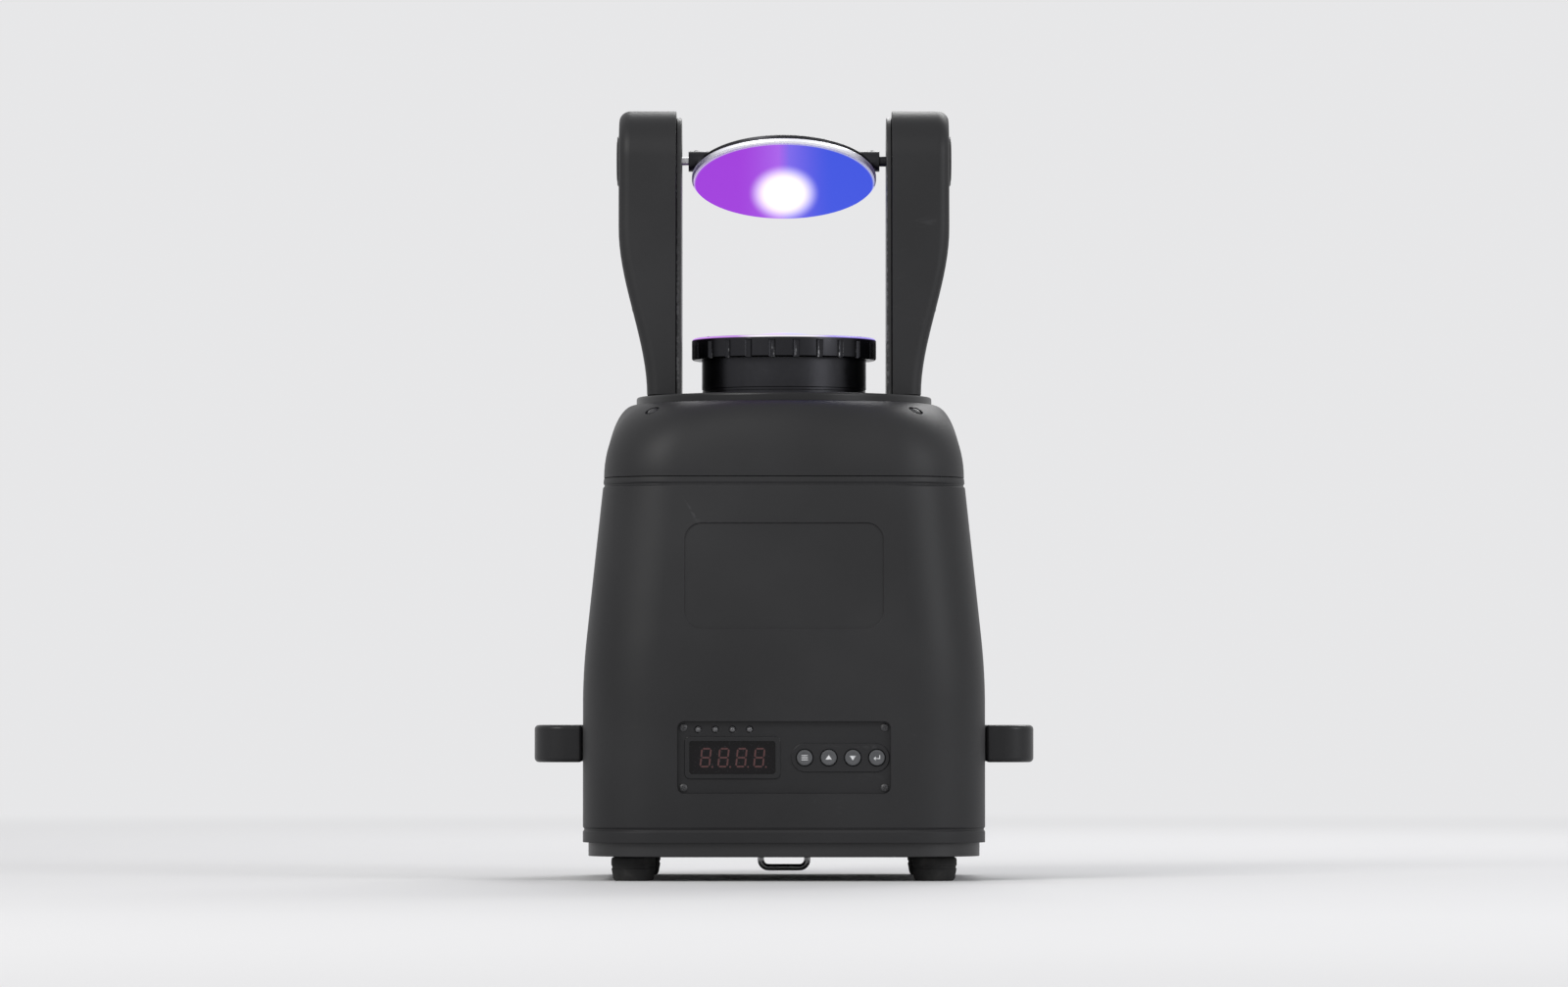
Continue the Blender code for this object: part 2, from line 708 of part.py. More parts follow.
def full_outline(half, corner):
    """A square with round corners, with points along its straight sides too, one side after the other."""
    flat_end = half - corner
    points = []
    for side in range(4):
        turn = side * pi / 2
        straight = [(-half, -flat_end + 2 * flat_end * k / FLAT_STEPS) for k in range(FLAT_STEPS, 0, -1)]
        bend = arc(corner, pi, 1.5 * pi, CORNER_STEPS, (-flat_end, -flat_end))
        points += [turned_point(p, (0, 0), turn) for p in straight + bend[:-1]]
    return points


def make_shoulder():
    """The square of the tower drawn in and up to the round opening for the turntable."""
    steps = 4
    opening = TURNTABLE_RADIUS + SWING_GAP
    rings = []
    for k in range(steps + 1):
        share = k / steps * pi / 2
        inward = 1 - cos(share)
        ring = []
        for x, y in full_outline(TOWER_HALF, CORNER):
            reach = 1 + (opening / hypot(x, y) - 1) * inward
            ring.append((x * reach, y * reach, SHOULDER_Z + SHOULDER_RISE * sin(share)))
        rings.append(ring)
    shoulder = thicken(node("shoulder_cover", loft(rings, closed_ring=True), "housing"), WALL)
    cut(shoulder, rods(opening, SHOULDER_Z + SHOULDER_RISE / 2, SHOULDER_TOP + WALL, [(0, 0)], sides=FINE))


def handle_outline():
    """The bow of a handle, seen from above, with its feet on x = 0."""
    outer, inner = HANDLE_LENGTH / 2, HANDLE_LENGTH / 2 - HANDLE_FOOT
    bend = HANDLE_REACH * 0.62
    outside = [(0, -outer)]
    outside += arc(bend, -pi / 2, 0, 4, (HANDLE_REACH - bend, -outer + bend))
    outside += arc(bend, 0, pi / 2, 4, (HANDLE_REACH - bend, outer - bend))
    outside += [(0, outer), (0, inner)]
    reach = HANDLE_REACH - HANDLE_BAR
    turn = reach * 0.6
    outside += arc(turn, pi / 2, 0, 3, (reach - turn, inner - turn))
    outside += arc(turn, 0, -pi / 2, 3, (reach - turn, -inner + turn))
    outside += [(0, -inner)]
    return outside


def make_handles():
    for name, side in (("handle_left", -1), ("handle_right", 1)):
        face = side * (BODY_HALF + SEAT_GAP)
        points = [(face + side * x, y) for x, y in handle_outline()]
        low = HANDLE_HEIGHT - HANDLE_DEPTH / 2
        handle = node(name, flat([points], low, low + HANDLE_DEPTH), "housing")
        round_edges(handle, HANDLE_EDGE, 1, radians(70))


# Control panel


def button_x(k):
    return BUTTON_FIRST + k * BUTTON_PITCH


PANEL_FACE = -(INNER_FACE - SEAT_GAP)  # y of the panel's outer face
BOARD_FACE = PANEL_FACE + BOARD_BEHIND
PANEL_BACK = PANEL_FACE + PANEL_THICK


def make_panel():
    width, height = PANEL_OPENING[0] + 2 * PANEL_LAP, PANEL_OPENING[1] + 2 * PANEL_LAP
    centre = (0, PANEL_HEIGHT)
    loops = [rounded_rectangle(width, height, PANEL_LAP, 2, centre)]
    loops.append(rounded_rectangle(*PANEL_WINDOW, 0.0015, 1, (WINDOW_MIDDLE, PANEL_HEIGHT)))
    hole = BUTTON_RADIUS + BUTTON_HOLE_GAP
    loops += [circle(hole, COARSE, (button_x(k), PANEL_HEIGHT), 0.1 * k) for k in range(len(BUTTON_NAMES))]
    panel = node("control_panel", flat(loops, -PANEL_BACK, -PANEL_FACE, "XZ"), "housing")
    post_x, post_z = width / 2 - PANEL_LAP, height / 2 - PANEL_LAP
    posts = [(sx * post_x, PANEL_HEIGHT + sz * post_z) for sx in (-1, 1) for sz in (-1, 1)]
    add(panel, rods(POST_RADIUS, PANEL_BACK - PANEL_THICK / 2, BOARD_FACE - SEAT_GAP, posts, "Y"))

    glass_front = PANEL_BACK + SEAT_GAP
    glass_size = (side + 2 * WINDOW_LAP for side in PANEL_WINDOW)
    glass = rectangle(*glass_size, (WINDOW_MIDDLE, PANEL_HEIGHT))
    glass_back = glass_front + WINDOW_THICK
    node("display_window", flat([glass], -glass_back, -glass_front, "XZ"), "screen")

    board = rectangle(width, height + 2 * PANEL_LAP, centre)
    back = BOARD_FACE + BOARD_THICK
    main_board = node("main_board", flat([board], -back, -BOARD_FACE, "XZ"), "circuit_board")
    add(main_board, flat([glass], -(BOARD_FACE + BOARD_THICK / 2), -(glass_back + SEAT_GAP), "XZ"))

    switch_tip = PANEL_BACK + RUN_GAP + BUTTON_FLANGE + BUTTON_TRAVEL + RUN_GAP
    switches = [(button_x(k), PANEL_HEIGHT) for k in range(len(BUTTON_NAMES))]
    add(main_board, rods(SWITCH_RADIUS, switch_tip, BOARD_FACE + BOARD_THICK / 2, switches, "Y", 8))

    for k, label in enumerate(BUTTON_NAMES):
        at = (button_x(k), PANEL_FACE, PANEL_HEIGHT)
        slide = axis_empty(f"{label}_button_slide", at)
        flange_front = PANEL_THICK + RUN_GAP
        cap = turned(
            f"button_{label}",
            "button",
            [
                (0, BUTTON_PROUD),
                (BUTTON_RADIUS * 0.80, BUTTON_PROUD),
                (BUTTON_RADIUS, BUTTON_PROUD * 0.7),
                (BUTTON_RADIUS, -flange_front),
                (BUTTON_RADIUS + BUTTON_FLANGE, -flange_front),
                (BUTTON_RADIUS + BUTTON_FLANGE, -flange_front - BUTTON_FLANGE),
                (0, -flange_front - BUTTON_FLANGE),
            ],
            sides=COARSE,
            ring=False,
        )
        put(cap, at, (pi / 2, 0, 0), slide)


# Connector plate

PLATE_FACE = INNER_FACE - SEAT_GAP  # y of the plate's outer face
FLANGE_Y = PLATE_FACE + SEAT_GAP
FLANGE_FACE = FLANGE_Y + FLANGE_THICK


def rear_flat(loops, low, high):
    """A flat outline across Y, on the rear of the tower."""
    return flat(loops, -high, -low, "XZ")


def flange_with_body(name, x, flange, body, depth):
    """A connector: its flange on the plate and its body through it."""
    obj = node(name, rear_flat([flange], FLANGE_Y, FLANGE_FACE), "connector")
    add(obj, rear_flat([body], FLANGE_FACE - depth, FLANGE_FACE - FLANGE_THICK / 2))
    return obj


def power_blades(x, z, size, low, high):
    """Three flat blades along Y, the middle one raised, or the slits that take them."""
    places = ((x - BLADE_PITCH, z - BLADE_RISE), (x, z + BLADE_RISE), (x + BLADE_PITCH, z - BLADE_RISE))
    w, h = size[0] / 2, size[1] / 2
    return boxes(*(((u - w, low, v - h), (u + w, high, v + h)) for u, v in places))


def make_power_connectors():
    z = PLATE_HEIGHT + POWER_RISE
    for name, x in (("power_inlet", INLET_X), ("power_outlet", OUTLET_X)):
        flange = rounded_rectangle(*POWER_FLANGE, 0.003, 1, (x, PLATE_HEIGHT))
        body = rounded_rectangle(*POWER_BODY, 0.003, 1, (x, z))
        made = flange_with_body(name, x, flange, body, POWER_DEPTH)
        blade_end = FLANGE_FACE - SOCKET_DEPTH
        if name == "power_inlet":
            socket = rounded_rectangle(*POWER_SOCKET, 0.003, 1, (x, z))
            cut(made, rear_flat([socket], blade_end, FLANGE_FACE + WALL))
            add(made, power_blades(x, z, BLADE, blade_end - WALL / 2, blade_end + BLADE_LENGTH))
            slot_w, slot_h = (side + 2 * RUN_GAP for side in DRAWER_SIZE)
            slot_z = PLATE_HEIGHT - DRAWER_DROP
            slot_body = rectangle(slot_w + 2 * DRAWER_WALL, slot_h + 2 * DRAWER_WALL, (x, slot_z))
            slot_end = FLANGE_FACE - DRAWER_LENGTH - SEAT_GAP
            add(made, rear_flat([slot_body], slot_end - DRAWER_WALL, FLANGE_FACE - FLANGE_THICK / 2))
            cut(made, rear_flat([rectangle(slot_w, slot_h, (x, slot_z))], slot_end, FLANGE_FACE + WALL))
        else:
            slit = [side + RUN_GAP for side in BLADE]
            cut(made, power_blades(x, z, slit, blade_end, FLANGE_FACE + WALL))
    at = (INLET_X, FLANGE_FACE, PLATE_HEIGHT - DRAWER_DROP)
    w, h = DRAWER_SIZE
    drawer = node("fuse_drawer", boxes(((-w / 2, -DRAWER_LENGTH, -h / 2), (w / 2, 0, h / 2))), "connector")
    put(drawer, at, on=axis_empty("fuse_drawer_slide", at))
    cut(drawer, boxes(((-w / 4, -GRIP_DEPTH, -h / 4), (w / 4, WALL, h / 4))))


def dmx_pin_places(x):
    return [
        (x + DMX_PIN_RING * cos(a), PLATE_HEIGHT + DMX_PIN_RING * sin(a))
        for a in (radians(30), radians(150), radians(270))
    ]


def make_dmx_connectors():
    for name, x in (("dmx_in", DMX_IN_X), ("dmx_out", DMX_OUT_X)):
        flange = rounded_rectangle(*DMX_FLANGE, 0.003, 1, (x, PLATE_HEIGHT))
        body = circle(DMX_RADIUS, MEDIUM, (x, PLATE_HEIGHT))
        made = flange_with_body(name, x, flange, body, DMX_DEPTH)
        pins = dmx_pin_places(x)
        if name == "dmx_in":
            cup = circle(DMX_CUP_RADIUS, MEDIUM, (x, PLATE_HEIGHT))
            floor = FLANGE_FACE - DMX_CUP_DEPTH
            cut(made, rear_flat([cup], floor, FLANGE_FACE + WALL))
            add(made, rods(DMX_PIN_RADIUS, floor - WALL / 2, floor + DMX_PIN_LENGTH, pins, "Y", 8))
        else:
            cut(made, rods(DMX_PIN_RADIUS, FLANGE_FACE - DMX_CUP_DEPTH, FLANGE_FACE + WALL, pins, "Y", 8))
            w, h = (side + 2 * RUN_GAP for side in TAB_SIZE)
            z = PLATE_HEIGHT + TAB_RISE
            tab_floor = FLANGE_FACE - TAB_TRAVEL - RUN_GAP
            low, high = (x - w / 2, tab_floor, z - h / 2), (x + w / 2, FLANGE_FACE + WALL, z + h / 2)
            cut(made, boxes((low, high)))
    tab_at = (DMX_OUT_X, FLANGE_FACE, PLATE_HEIGHT + TAB_RISE)
    slide = axis_empty("dmx_release_slide", tab_at)
    w, h = TAB_SIZE
    tab = node("dmx_release_tab", boxes(((-w / 2, 0, -h / 2), (w / 2, TAB_PROUD, h / 2))), "steel")
    put(tab, tab_at, on=slide)


def make_connector_plate():
    width, height = PLATE_OPENING[0] + 2 * PLATE_LAP, PLATE_OPENING[1] + 2 * PLATE_LAP
    loops = [rounded_rectangle(width, height, PLATE_LAP, 2, (0, PLATE_HEIGHT))]
    hole_w, hole_h = (side + 2 * SEAT_GAP for side in POWER_BODY)
    z = PLATE_HEIGHT + POWER_RISE
    for x in (INLET_X, OUTLET_X):
        loops.append(rounded_rectangle(hole_w, hole_h, 0.003, 1, (x, z)))
    slot_w, slot_h = (side + 2 * (RUN_GAP + DRAWER_WALL + SEAT_GAP) for side in DRAWER_SIZE)
    loops.append(rectangle(slot_w, slot_h, (INLET_X, PLATE_HEIGHT - DRAWER_DROP)))
    for x in (DMX_IN_X, DMX_OUT_X):
        loops.append(circle(DMX_RADIUS + SEAT_GAP, MEDIUM, (x, PLATE_HEIGHT)))
    node("connector_plate", rear_flat(loops, PLATE_FACE - PLATE_THICK, PLATE_FACE), "painted_metal")


# Power supply, fan, heat sink and lamp


def make_power_supply():
    w, d, h = SUPPLY_SIZE
    z = TRAY_TOP_FACE + SEAT_GAP
    supply = node(
        "power_supply",
        boxes(((-w / 2, SUPPLY_BEHIND, z), (w / 2, SUPPLY_BEHIND + d, z + h))),
        "sheet_metal",
    )
    step = (w / 2 - SUPPLY_STEP, SUPPLY_BEHIND - WALL, z + WALL)
    cut(supply, boxes((step, (w / 2 + WALL, SUPPLY_BEHIND + d - WALL, z + h + WALL))))


def make_fan():
    z0, z1 = FAN_Z, FAN_Z + FAN_DEPTH
    square = rounded_rectangle(FAN_SIDE, FAN_SIDE, 0.005, 1)
    frame = node("fan_frame", flat([square, circle(FAN_DUCT_RADIUS, MEDIUM)], z0, z1), "housing")
    reach, strut, deep = FAN_DUCT_RADIUS + STEP, FAN_STRUT / 2, FAN_STRUT_DEPTH
    along = ((-reach, -strut, z0), (reach, strut, z0 + deep))
    across = ((-strut, -reach, z0 + FLUSH), (strut, reach, z0 + deep - FLUSH))
    add(frame, boxes(along, across))
    add(frame, rods(FAN_HUB_RADIUS, z0, z0 + deep + STEP, [(0, 0)], sides=MEDIUM))

    spin = axis_empty("fan_axle", (0, 0, 0))
    hub_low, hub_high = z0 + deep + SWING_GAP, z1 - SWING_GAP
    rotor = node("fan_rotor", fan_blades(hub_low + SWING_GAP, hub_high - 2 * SWING_GAP), "housing")
    put(rotor, on=spin)
    thicken(rotor, FAN_BLADE_THICK)
    add(rotor, rods(FAN_HUB_RADIUS, hub_low, hub_high, [(0, 0)], sides=MEDIUM))


def fan_blades(low, high):
    """Open surfaces that rise as they go round, lean back and flatten towards the tip."""
    bm = bmesh.new()
    inner, outer = FAN_HUB_RADIUS * 0.93, FAN_DUCT_RADIUS - FAN_TIP_GAP
    stations = 5
    for blade in range(FAN_BLADES):
        rows = []
        for k in range(stations):
            share = k / (stations - 1)
            r = inner + (outer - inner) * share
            middle = 2 * pi * blade / FAN_BLADES + 0.25 * share
            spread = 0.28 + 0.04 * share
            lift = (high - low) / 2 * (1 - 0.30 * share)
            ends = ((middle - spread, (low + high) / 2 - lift), (middle + spread, (low + high) / 2 + lift))
            rows.append([bm.verts.new((r * cos(a), r * sin(a), z)) for a, z in ends])
        for near, far in zip(rows, rows[1:]):
            bm.faces.new((near[0], far[0], near[1]))
            bm.faces.new((far[0], far[1], near[1]))
    return to_mesh(bm, "blades")


def make_heat_sink():
    """Fins hang from the base, which carries the lamp."""
    half, top, foot = SINK_SIDE / 2, SINK_Z + SINK_HEIGHT, SINK_Z
    root = top - SINK_BASE
    pitch = (SINK_SIDE - FIN_THICK) / (FIN_COUNT - 1)
    comb = [(-half, top), (-half, foot)]
    for k in range(FIN_COUNT):
        right = -half + k * pitch + FIN_THICK
        if k:
            comb += [(right - FIN_THICK, root), (right - FIN_THICK, foot)]
        comb += [(right, foot)]
        if k < FIN_COUNT - 1:
            comb += [(right, root)]
    comb.append((half, top))
    node("heat_sink", flat([comb], -half, half, "XZ"), "aluminium")


def make_lamp():
    z = SINK_Z + SINK_HEIGHT + SEAT_GAP
    led = node("led_module", flat([rectangle(LED_SIDE, LED_SIDE)], z, z + SHEET * 0.8), "emitter")
    add(led, rods(LED_RADIUS, z + SHEET * 0.4, z + SHEET * 1.4, [(0, 0)], sides=MEDIUM))

    hole = LED_SIDE + 4 * SEAT_GAP
    plate = rectangle(2 * (FRAME_HALF - SEAT_GAP), FRAME_WIDTH)
    top = LAMP_PLATE_Z + SHEET
    node("lamp_plate", flat([plate, rectangle(hole, hole)], LAMP_PLATE_Z, top), "sheet_metal")

    foot = hole / 2 + CONDENSER_FOOT
    base, top = CONDENSER_Z, CONDENSER_Z + CONDENSER_HEIGHT
    seat = CONDENSER_RADIUS - LENS_LEDGE
    shelf = top - CONDENSER_EDGE - CONDENSER_DOME
    turned(
        "condenser_holder",
        "black_aluminium",
        [
            (CONDENSER_TUBE, top),
            (CONDENSER_TUBE, base + SHEET),
            (foot, base + SHEET),
            (foot, base),
            (seat, base),
            (seat, shelf),
            (CONDENSER_RADIUS, shelf),
            (CONDENSER_RADIUS, top),
        ],
        sides=MEDIUM,
    )
    edge = CONDENSER_RADIUS - RUN_GAP
    low = shelf + SEAT_GAP
    face = dome(edge, low + CONDENSER_EDGE, CONDENSER_DOME)
    turned("condenser_lens", "glass", [*face, (edge, low), (0, low)], sides=MEDIUM, ring=False)


# Frames, wheels and focus


def make_frames():
    low, high = TRAY_TOP_FACE + SEAT_GAP, HEAD_PLATE_HEIGHT - SEAT_GAP
    for name, side in (("frame_left", -1), ("frame_right", 1)):
        inner, outer = FRAME_HALF, FRAME_HALF + SHEET
        tip = inner - FRAME_FLANGE
        profile = [
            (outer, low),
            (outer, high),
            (tip, high),
            (tip, high - SHEET),
            (inner, high - SHEET),
            (inner, low + SHEET),
            (tip, low + SHEET),
            (tip, low),
        ]
        frame = node(
            name,
            flat([[(side * x, z) for x, z in profile]], -FRAME_WIDTH / 2, FRAME_WIDTH / 2, "XZ"),
            "sheet_metal",
        )
        x0, x1 = sorted((side * (inner - WALL), side * (outer + WALL)))
        air = FRAME_WIDTH / 2 - FRAME_BAND
        floors = (SINK_Z - FRAME_BAND, LAMP_PLATE_Z, WHEEL_PLATE_HEIGHT, HEAD_PLATE_HEIGHT)
        for below, above in zip(floors, floors[1:]):
            cut(frame, boxes(((x0, -air, below + FRAME_BAND), (x1, air, above - FRAME_BAND))))


def make_motor(name, side, length, face, way, at, plane="XY", on=None, pilot=0.0):
    """A stepper motor. face is its mounting face and way the side of it on which the body lies, +1 or -1."""
    chamfer = 0.14 * side
    half = side / 2
    flank = half - chamfer
    outline = [(half, -flank), (half, flank), (flank, half), (-flank, half)]
    outline += [(-x, -y) for x, y in outline]
    outline = [(x + at[0], y + at[1]) for x, y in outline]
    far = face + way * length
    motor = node(name, flat([outline], min(face, far), max(face, far), plane), "motor")
    bore = face + way * MOTOR_BORE_DEPTH
    beyond = face - way * WALL
    span = (min(bore, beyond), max(bore, beyond))
    axis = {"XY": "Z", "YZ": "X"}[plane]
    if on:
        put(motor, on=on)
    if pilot:
        edge = face - way * pilot
        add(motor, rods(PILOT_RADIUS, min(edge, bore), max(edge, bore), [at], axis, MEDIUM))
    cut(motor, rods(SHAFT_RADIUS + RUN_GAP, *span, [at], axis))
    return motor


def make_wheel_plate():
    outline = rectangle(2 * (FRAME_HALF - SEAT_GAP), FRAME_WIDTH)
    loops = [outline, circle(APERTURE_RADIUS, MEDIUM)]
    for y in (-WHEEL_OFFSET, WHEEL_OFFSET):
        loops.append(circle(SHAFT_RADIUS + 4 * RUN_GAP, COARSE, (0, y)))
    low = WHEEL_PLATE_HEIGHT
    node("wheel_plate", flat(loops, low, low + SHEET), "sheet_metal")
    top = low + SHEET + SEAT_GAP
    make_motor("colour_motor", SMALL_MOTOR, SMALL_MOTOR_LENGTH, top, 1, (0, WHEEL_OFFSET))
    make_motor("gobo_motor", SMALL_MOTOR, SMALL_MOTOR_LENGTH, low - SEAT_GAP, -1, (0, -WHEEL_OFFSET))


COLOUR_PLACES = 8


def colour_outline():
    """Seven filters round a hub and one open place. At rest the beam meets the edge between two filters."""
    step = 2 * pi / COLOUR_PLACES
    facing = -pi / 2  # from this wheel's axle to the beam
    points = []
    for k in range(COLOUR_PLACES):
        start = facing + k * step
        slit = COLOUR_GAP / 2
        if k == COLOUR_PLACES // 2:
            points += arc(COLOUR_HUB, start, start + step, 4)[1:-1]
            continue
        root = slit / COLOUR_HUB
        tip = slit / WHEEL_RADIUS
        points += [(COLOUR_HUB * cos(start + root), COLOUR_HUB * sin(start + root))]
        points += arc(WHEEL_RADIUS, start + tip, start + step - tip, 4)
        points += [(COLOUR_HUB * cos(start + step - root), COLOUR_HUB * sin(start + step - root))]
    return points


def gobo_ring(centre, turn):
    """A ring of light held by three bridges, as the photograph shows it."""
    inner, bridge = 0.74 * GOBO_IMAGE, 0.10
    loops = []
    for k in range(3):
        start, end = turn + 2 * pi * k / 3 + bridge / 2, turn + 2 * pi * (k + 1) / 3 - bridge / 2
        loop = arc(GOBO_IMAGE, start, end, 5, centre)
        loop += arc(inner, end, start, 5, centre)
        loops.append(loop)
    return loops


def gobo_dots(centre, turn):
    spots = [centre] + circle(0.66 * GOBO_IMAGE, 6, centre, turn)
    return [circle(0.22 * GOBO_IMAGE, 6, spot) for spot in spots]


def gobo_bars(centre, turn):
    loops = []
    for offset in (-0.56, 0.0, 0.56):
        x, half = offset * GOBO_IMAGE, 0.13 * GOBO_IMAGE
        reach = 0.78 * GOBO_IMAGE if offset else 0.95 * GOBO_IMAGE
        corners = [(x - half, -reach), (x + half, -reach), (x + half, reach), (x - half, reach)]
        loops.append([turned_point(p, centre, turn) for p in corners])
    return loops


def gobo_wedges(centre, turn):
    loops = []
    for k in range(6):
        middle = turn + k * pi / 3
        loops.append(
            [(centre[0] + 0.30 * GOBO_IMAGE * cos(middle), centre[1] + 0.30 * GOBO_IMAGE * sin(middle))]
            + arc(GOBO_IMAGE, middle - 0.22, middle + 0.22, 2, centre)
        )
    return loops


def gobo_windows(centre, turn):
    loops = []
    size, gap = 0.60 * GOBO_IMAGE, 0.08 * GOBO_IMAGE
    for sx in (-1, 1):
        for sy in (-1, 1):
            corners = rectangle(size, size, (sx * (size / 2 + gap), sy * (size / 2 + gap)))
            loops.append([turned_point(p, centre, turn) for p in corners])
    return loops


def gobo_triangles(centre, turn):
    loops = []
    for k in range(3):
        middle = turn + 2 * pi * k / 3
        spot = (centre[0] + 0.52 * GOBO_IMAGE * cos(middle), centre[1] + 0.52 * GOBO_IMAGE * sin(middle))
        loops.append(circle(0.42 * GOBO_IMAGE, 3, spot, middle))
    return loops


def gobo_arcs(centre, turn):
    loops = []
    for radius in (0.42 * GOBO_IMAGE, 0.86 * GOBO_IMAGE):
        for k in range(2):
            start, end = turn + k * pi + 0.25, turn + (k + 1) * pi - 0.25
            inner = radius - 0.20 * GOBO_IMAGE
            loops.append(arc(radius, start, end, 4, centre) + arc(inner, end, start, 4, centre))
    return loops


def gobo_open(centre, turn):
    return [circle(GOBO_IMAGE, MEDIUM, centre, turn)]


GOBOS = (gobo_ring, gobo_dots, gobo_bars, gobo_wedges, gobo_open, gobo_windows, gobo_triangles, gobo_arcs)


def make_wheels():
    """The colour wheel hangs under the wheel plate, the gobo wheel lies over it. Each is drawn round its axle."""
    axle = (0, WHEEL_OFFSET, COLOUR_Z)
    spin = axis_empty("colour_wheel_axle", axle)
    colour = node("colour_wheel", flat([colour_outline()], 0, COLOUR_THICK), "filters")
    put(colour, axle, on=spin)
    shaft_top = WHEEL_PLATE_HEIGHT + SHEET + SEAT_GAP + MOTOR_BORE_DEPTH - 2 * RUN_GAP - COLOUR_Z
    add(colour, rods(SHAFT_RADIUS, -HUB_HEIGHT / 2, shaft_top, [(0, 0)]))
    add(colour, rods(HUB_RADIUS, -HUB_HEIGHT + FLUSH, COLOUR_THICK + 0.001, [(0, 0)], sides=MEDIUM))

    axle = (0, -WHEEL_OFFSET, GOBO_Z)
    spin = axis_empty("gobo_wheel_axle", axle)
    loops = [circle(WHEEL_RADIUS, FINE)]
    for k, pattern in enumerate(GOBOS):
        facing = pi / 2 + k * 2 * pi / len(GOBOS)
        centre = (WHEEL_OFFSET * cos(facing), WHEEL_OFFSET * sin(facing))
        loops += pattern(centre, facing)
    gobo = node("gobo_wheel", flat(loops, 0, GOBO_THICK), "steel")
    put(gobo, axle, on=spin)
    shaft_low = WHEEL_PLATE_HEIGHT - SEAT_GAP - MOTOR_BORE_DEPTH + 2 * RUN_GAP - GOBO_Z
    add(gobo, rods(SHAFT_RADIUS, shaft_low, HUB_HEIGHT / 2, [(0, 0)]))
    add(gobo, rods(HUB_RADIUS, -0.001, HUB_HEIGHT - FLUSH, [(0, 0)], sides=MEDIUM))


def make_focus():
    motor_face = FOCUS_MOTOR_END
    make_motor("focus_motor", FOCUS_MOTOR, SMALL_MOTOR_LENGTH, motor_face, 1, (0, SCREW_Y))
    turn = axis_empty("focus_screw_axle", (0, SCREW_Y, motor_face))
    screw_end = FOCUS_HEIGHT - SCREW_PAST - motor_face
    screw = turned(
        "focus_screw",
        "steel",
        [
            (0, MOTOR_BORE_DEPTH - 2 * RUN_GAP),
            (SHAFT_RADIUS, MOTOR_BORE_DEPTH - 2 * RUN_GAP),
            (SHAFT_RADIUS, -SCREW_SHOULDER),
            (SCREW_RADIUS, -SCREW_SHOULDER),
            (SCREW_RADIUS, screw_end),
            (0, screw_end),
        ],
        sides=COARSE,
        ring=False,
    )
    put(screw, (0, SCREW_Y, motor_face), on=turn)

    rod_low = WHEEL_PLATE_HEIGHT + SHEET + SEAT_GAP
    node("guide_rod", rods(ROD_RADIUS, rod_low, HEAD_PLATE_HEIGHT - SEAT_GAP, [(ROD_X, 0)]), "steel")

    slide = axis_empty("focus_slide", (0, 0, FOCUS_HEIGHT))
    eye_rod, eye_screw = ROD_RADIUS + EYE_WALL, SCREW_RADIUS + EYE_WALL
    ring = rods(CARRIAGE_RADIUS, 0, CARRIAGE_THICK, [(0, 0)], sides=MEDIUM)
    carriage = node("focus_carriage", ring, "black_aluminium")
    put(carriage, (0, 0, FOCUS_HEIGHT), on=slide)
    root, half = CARRIAGE_RADIUS - EYE_WALL, EYE_WALL
    low, high = STEP, CARRIAGE_THICK - STEP
    arms = (((root, -half, low), (ROD_X, half, high)), ((-half, SCREW_Y, low), (half, -root, high)))
    add(carriage, boxes(*arms))
    add(carriage, rods(eye_rod, STEP / 2, CARRIAGE_THICK - STEP / 2, [(ROD_X, 0)]))
    add(carriage, rods(eye_screw, STEP / 2, CARRIAGE_THICK - STEP / 2, [(0, SCREW_Y)]))
    through = CARRIAGE_THICK + WALL
    cut(carriage, rods(ROD_RADIUS + RUN_GAP, -WALL, through, [(ROD_X, 0)]))
    cut(carriage, rods(SCREW_RADIUS + RUN_GAP, -WALL, through, [(0, SCREW_Y)]))
    cut(carriage, rods(FOCUS_LENS_RADIUS - LENS_LEDGE, -WALL, through, [(0, 0)], sides=MEDIUM))
    cut(carriage, rods(FOCUS_LENS_RADIUS, LENS_LEDGE, through, [(0, 0)], sides=MEDIUM))

    edge = FOCUS_LENS_RADIUS - 2 * RUN_GAP
    low = LENS_LEDGE + SEAT_GAP
    face = dome(edge, low + FOCUS_LENS_EDGE, FOCUS_LENS_DOME)
    lens = turned("focus_lens", "glass", [*face, (edge, low), (0, low)], MEDIUM, ring=False)
    put(lens, (0, 0, FOCUS_HEIGHT), on=slide)


# Head plate, barrel and front lens


def make_head_plate():
    opening = BARREL_RADIUS - BARREL_WALL
    side = 2 * HEAD_PLATE_HALF
    loops = [rounded_rectangle(side, side, HEAD_PLATE_CORNER, 3)]
    loops += [circle(opening, MEDIUM), circle(PILOT_RADIUS, COARSE, PINION_AT)]
    node("head_plate", flat(loops, HEAD_PLATE_HEIGHT, HEAD_PLATE_HEIGHT + HEAD_PLATE_THICK), "sheet_metal")
    face = HEAD_PLATE_HEIGHT - SEAT_GAP
    make_motor("pan_motor", PAN_MOTOR, PAN_MOTOR_LENGTH, face, -1, PINION_AT)


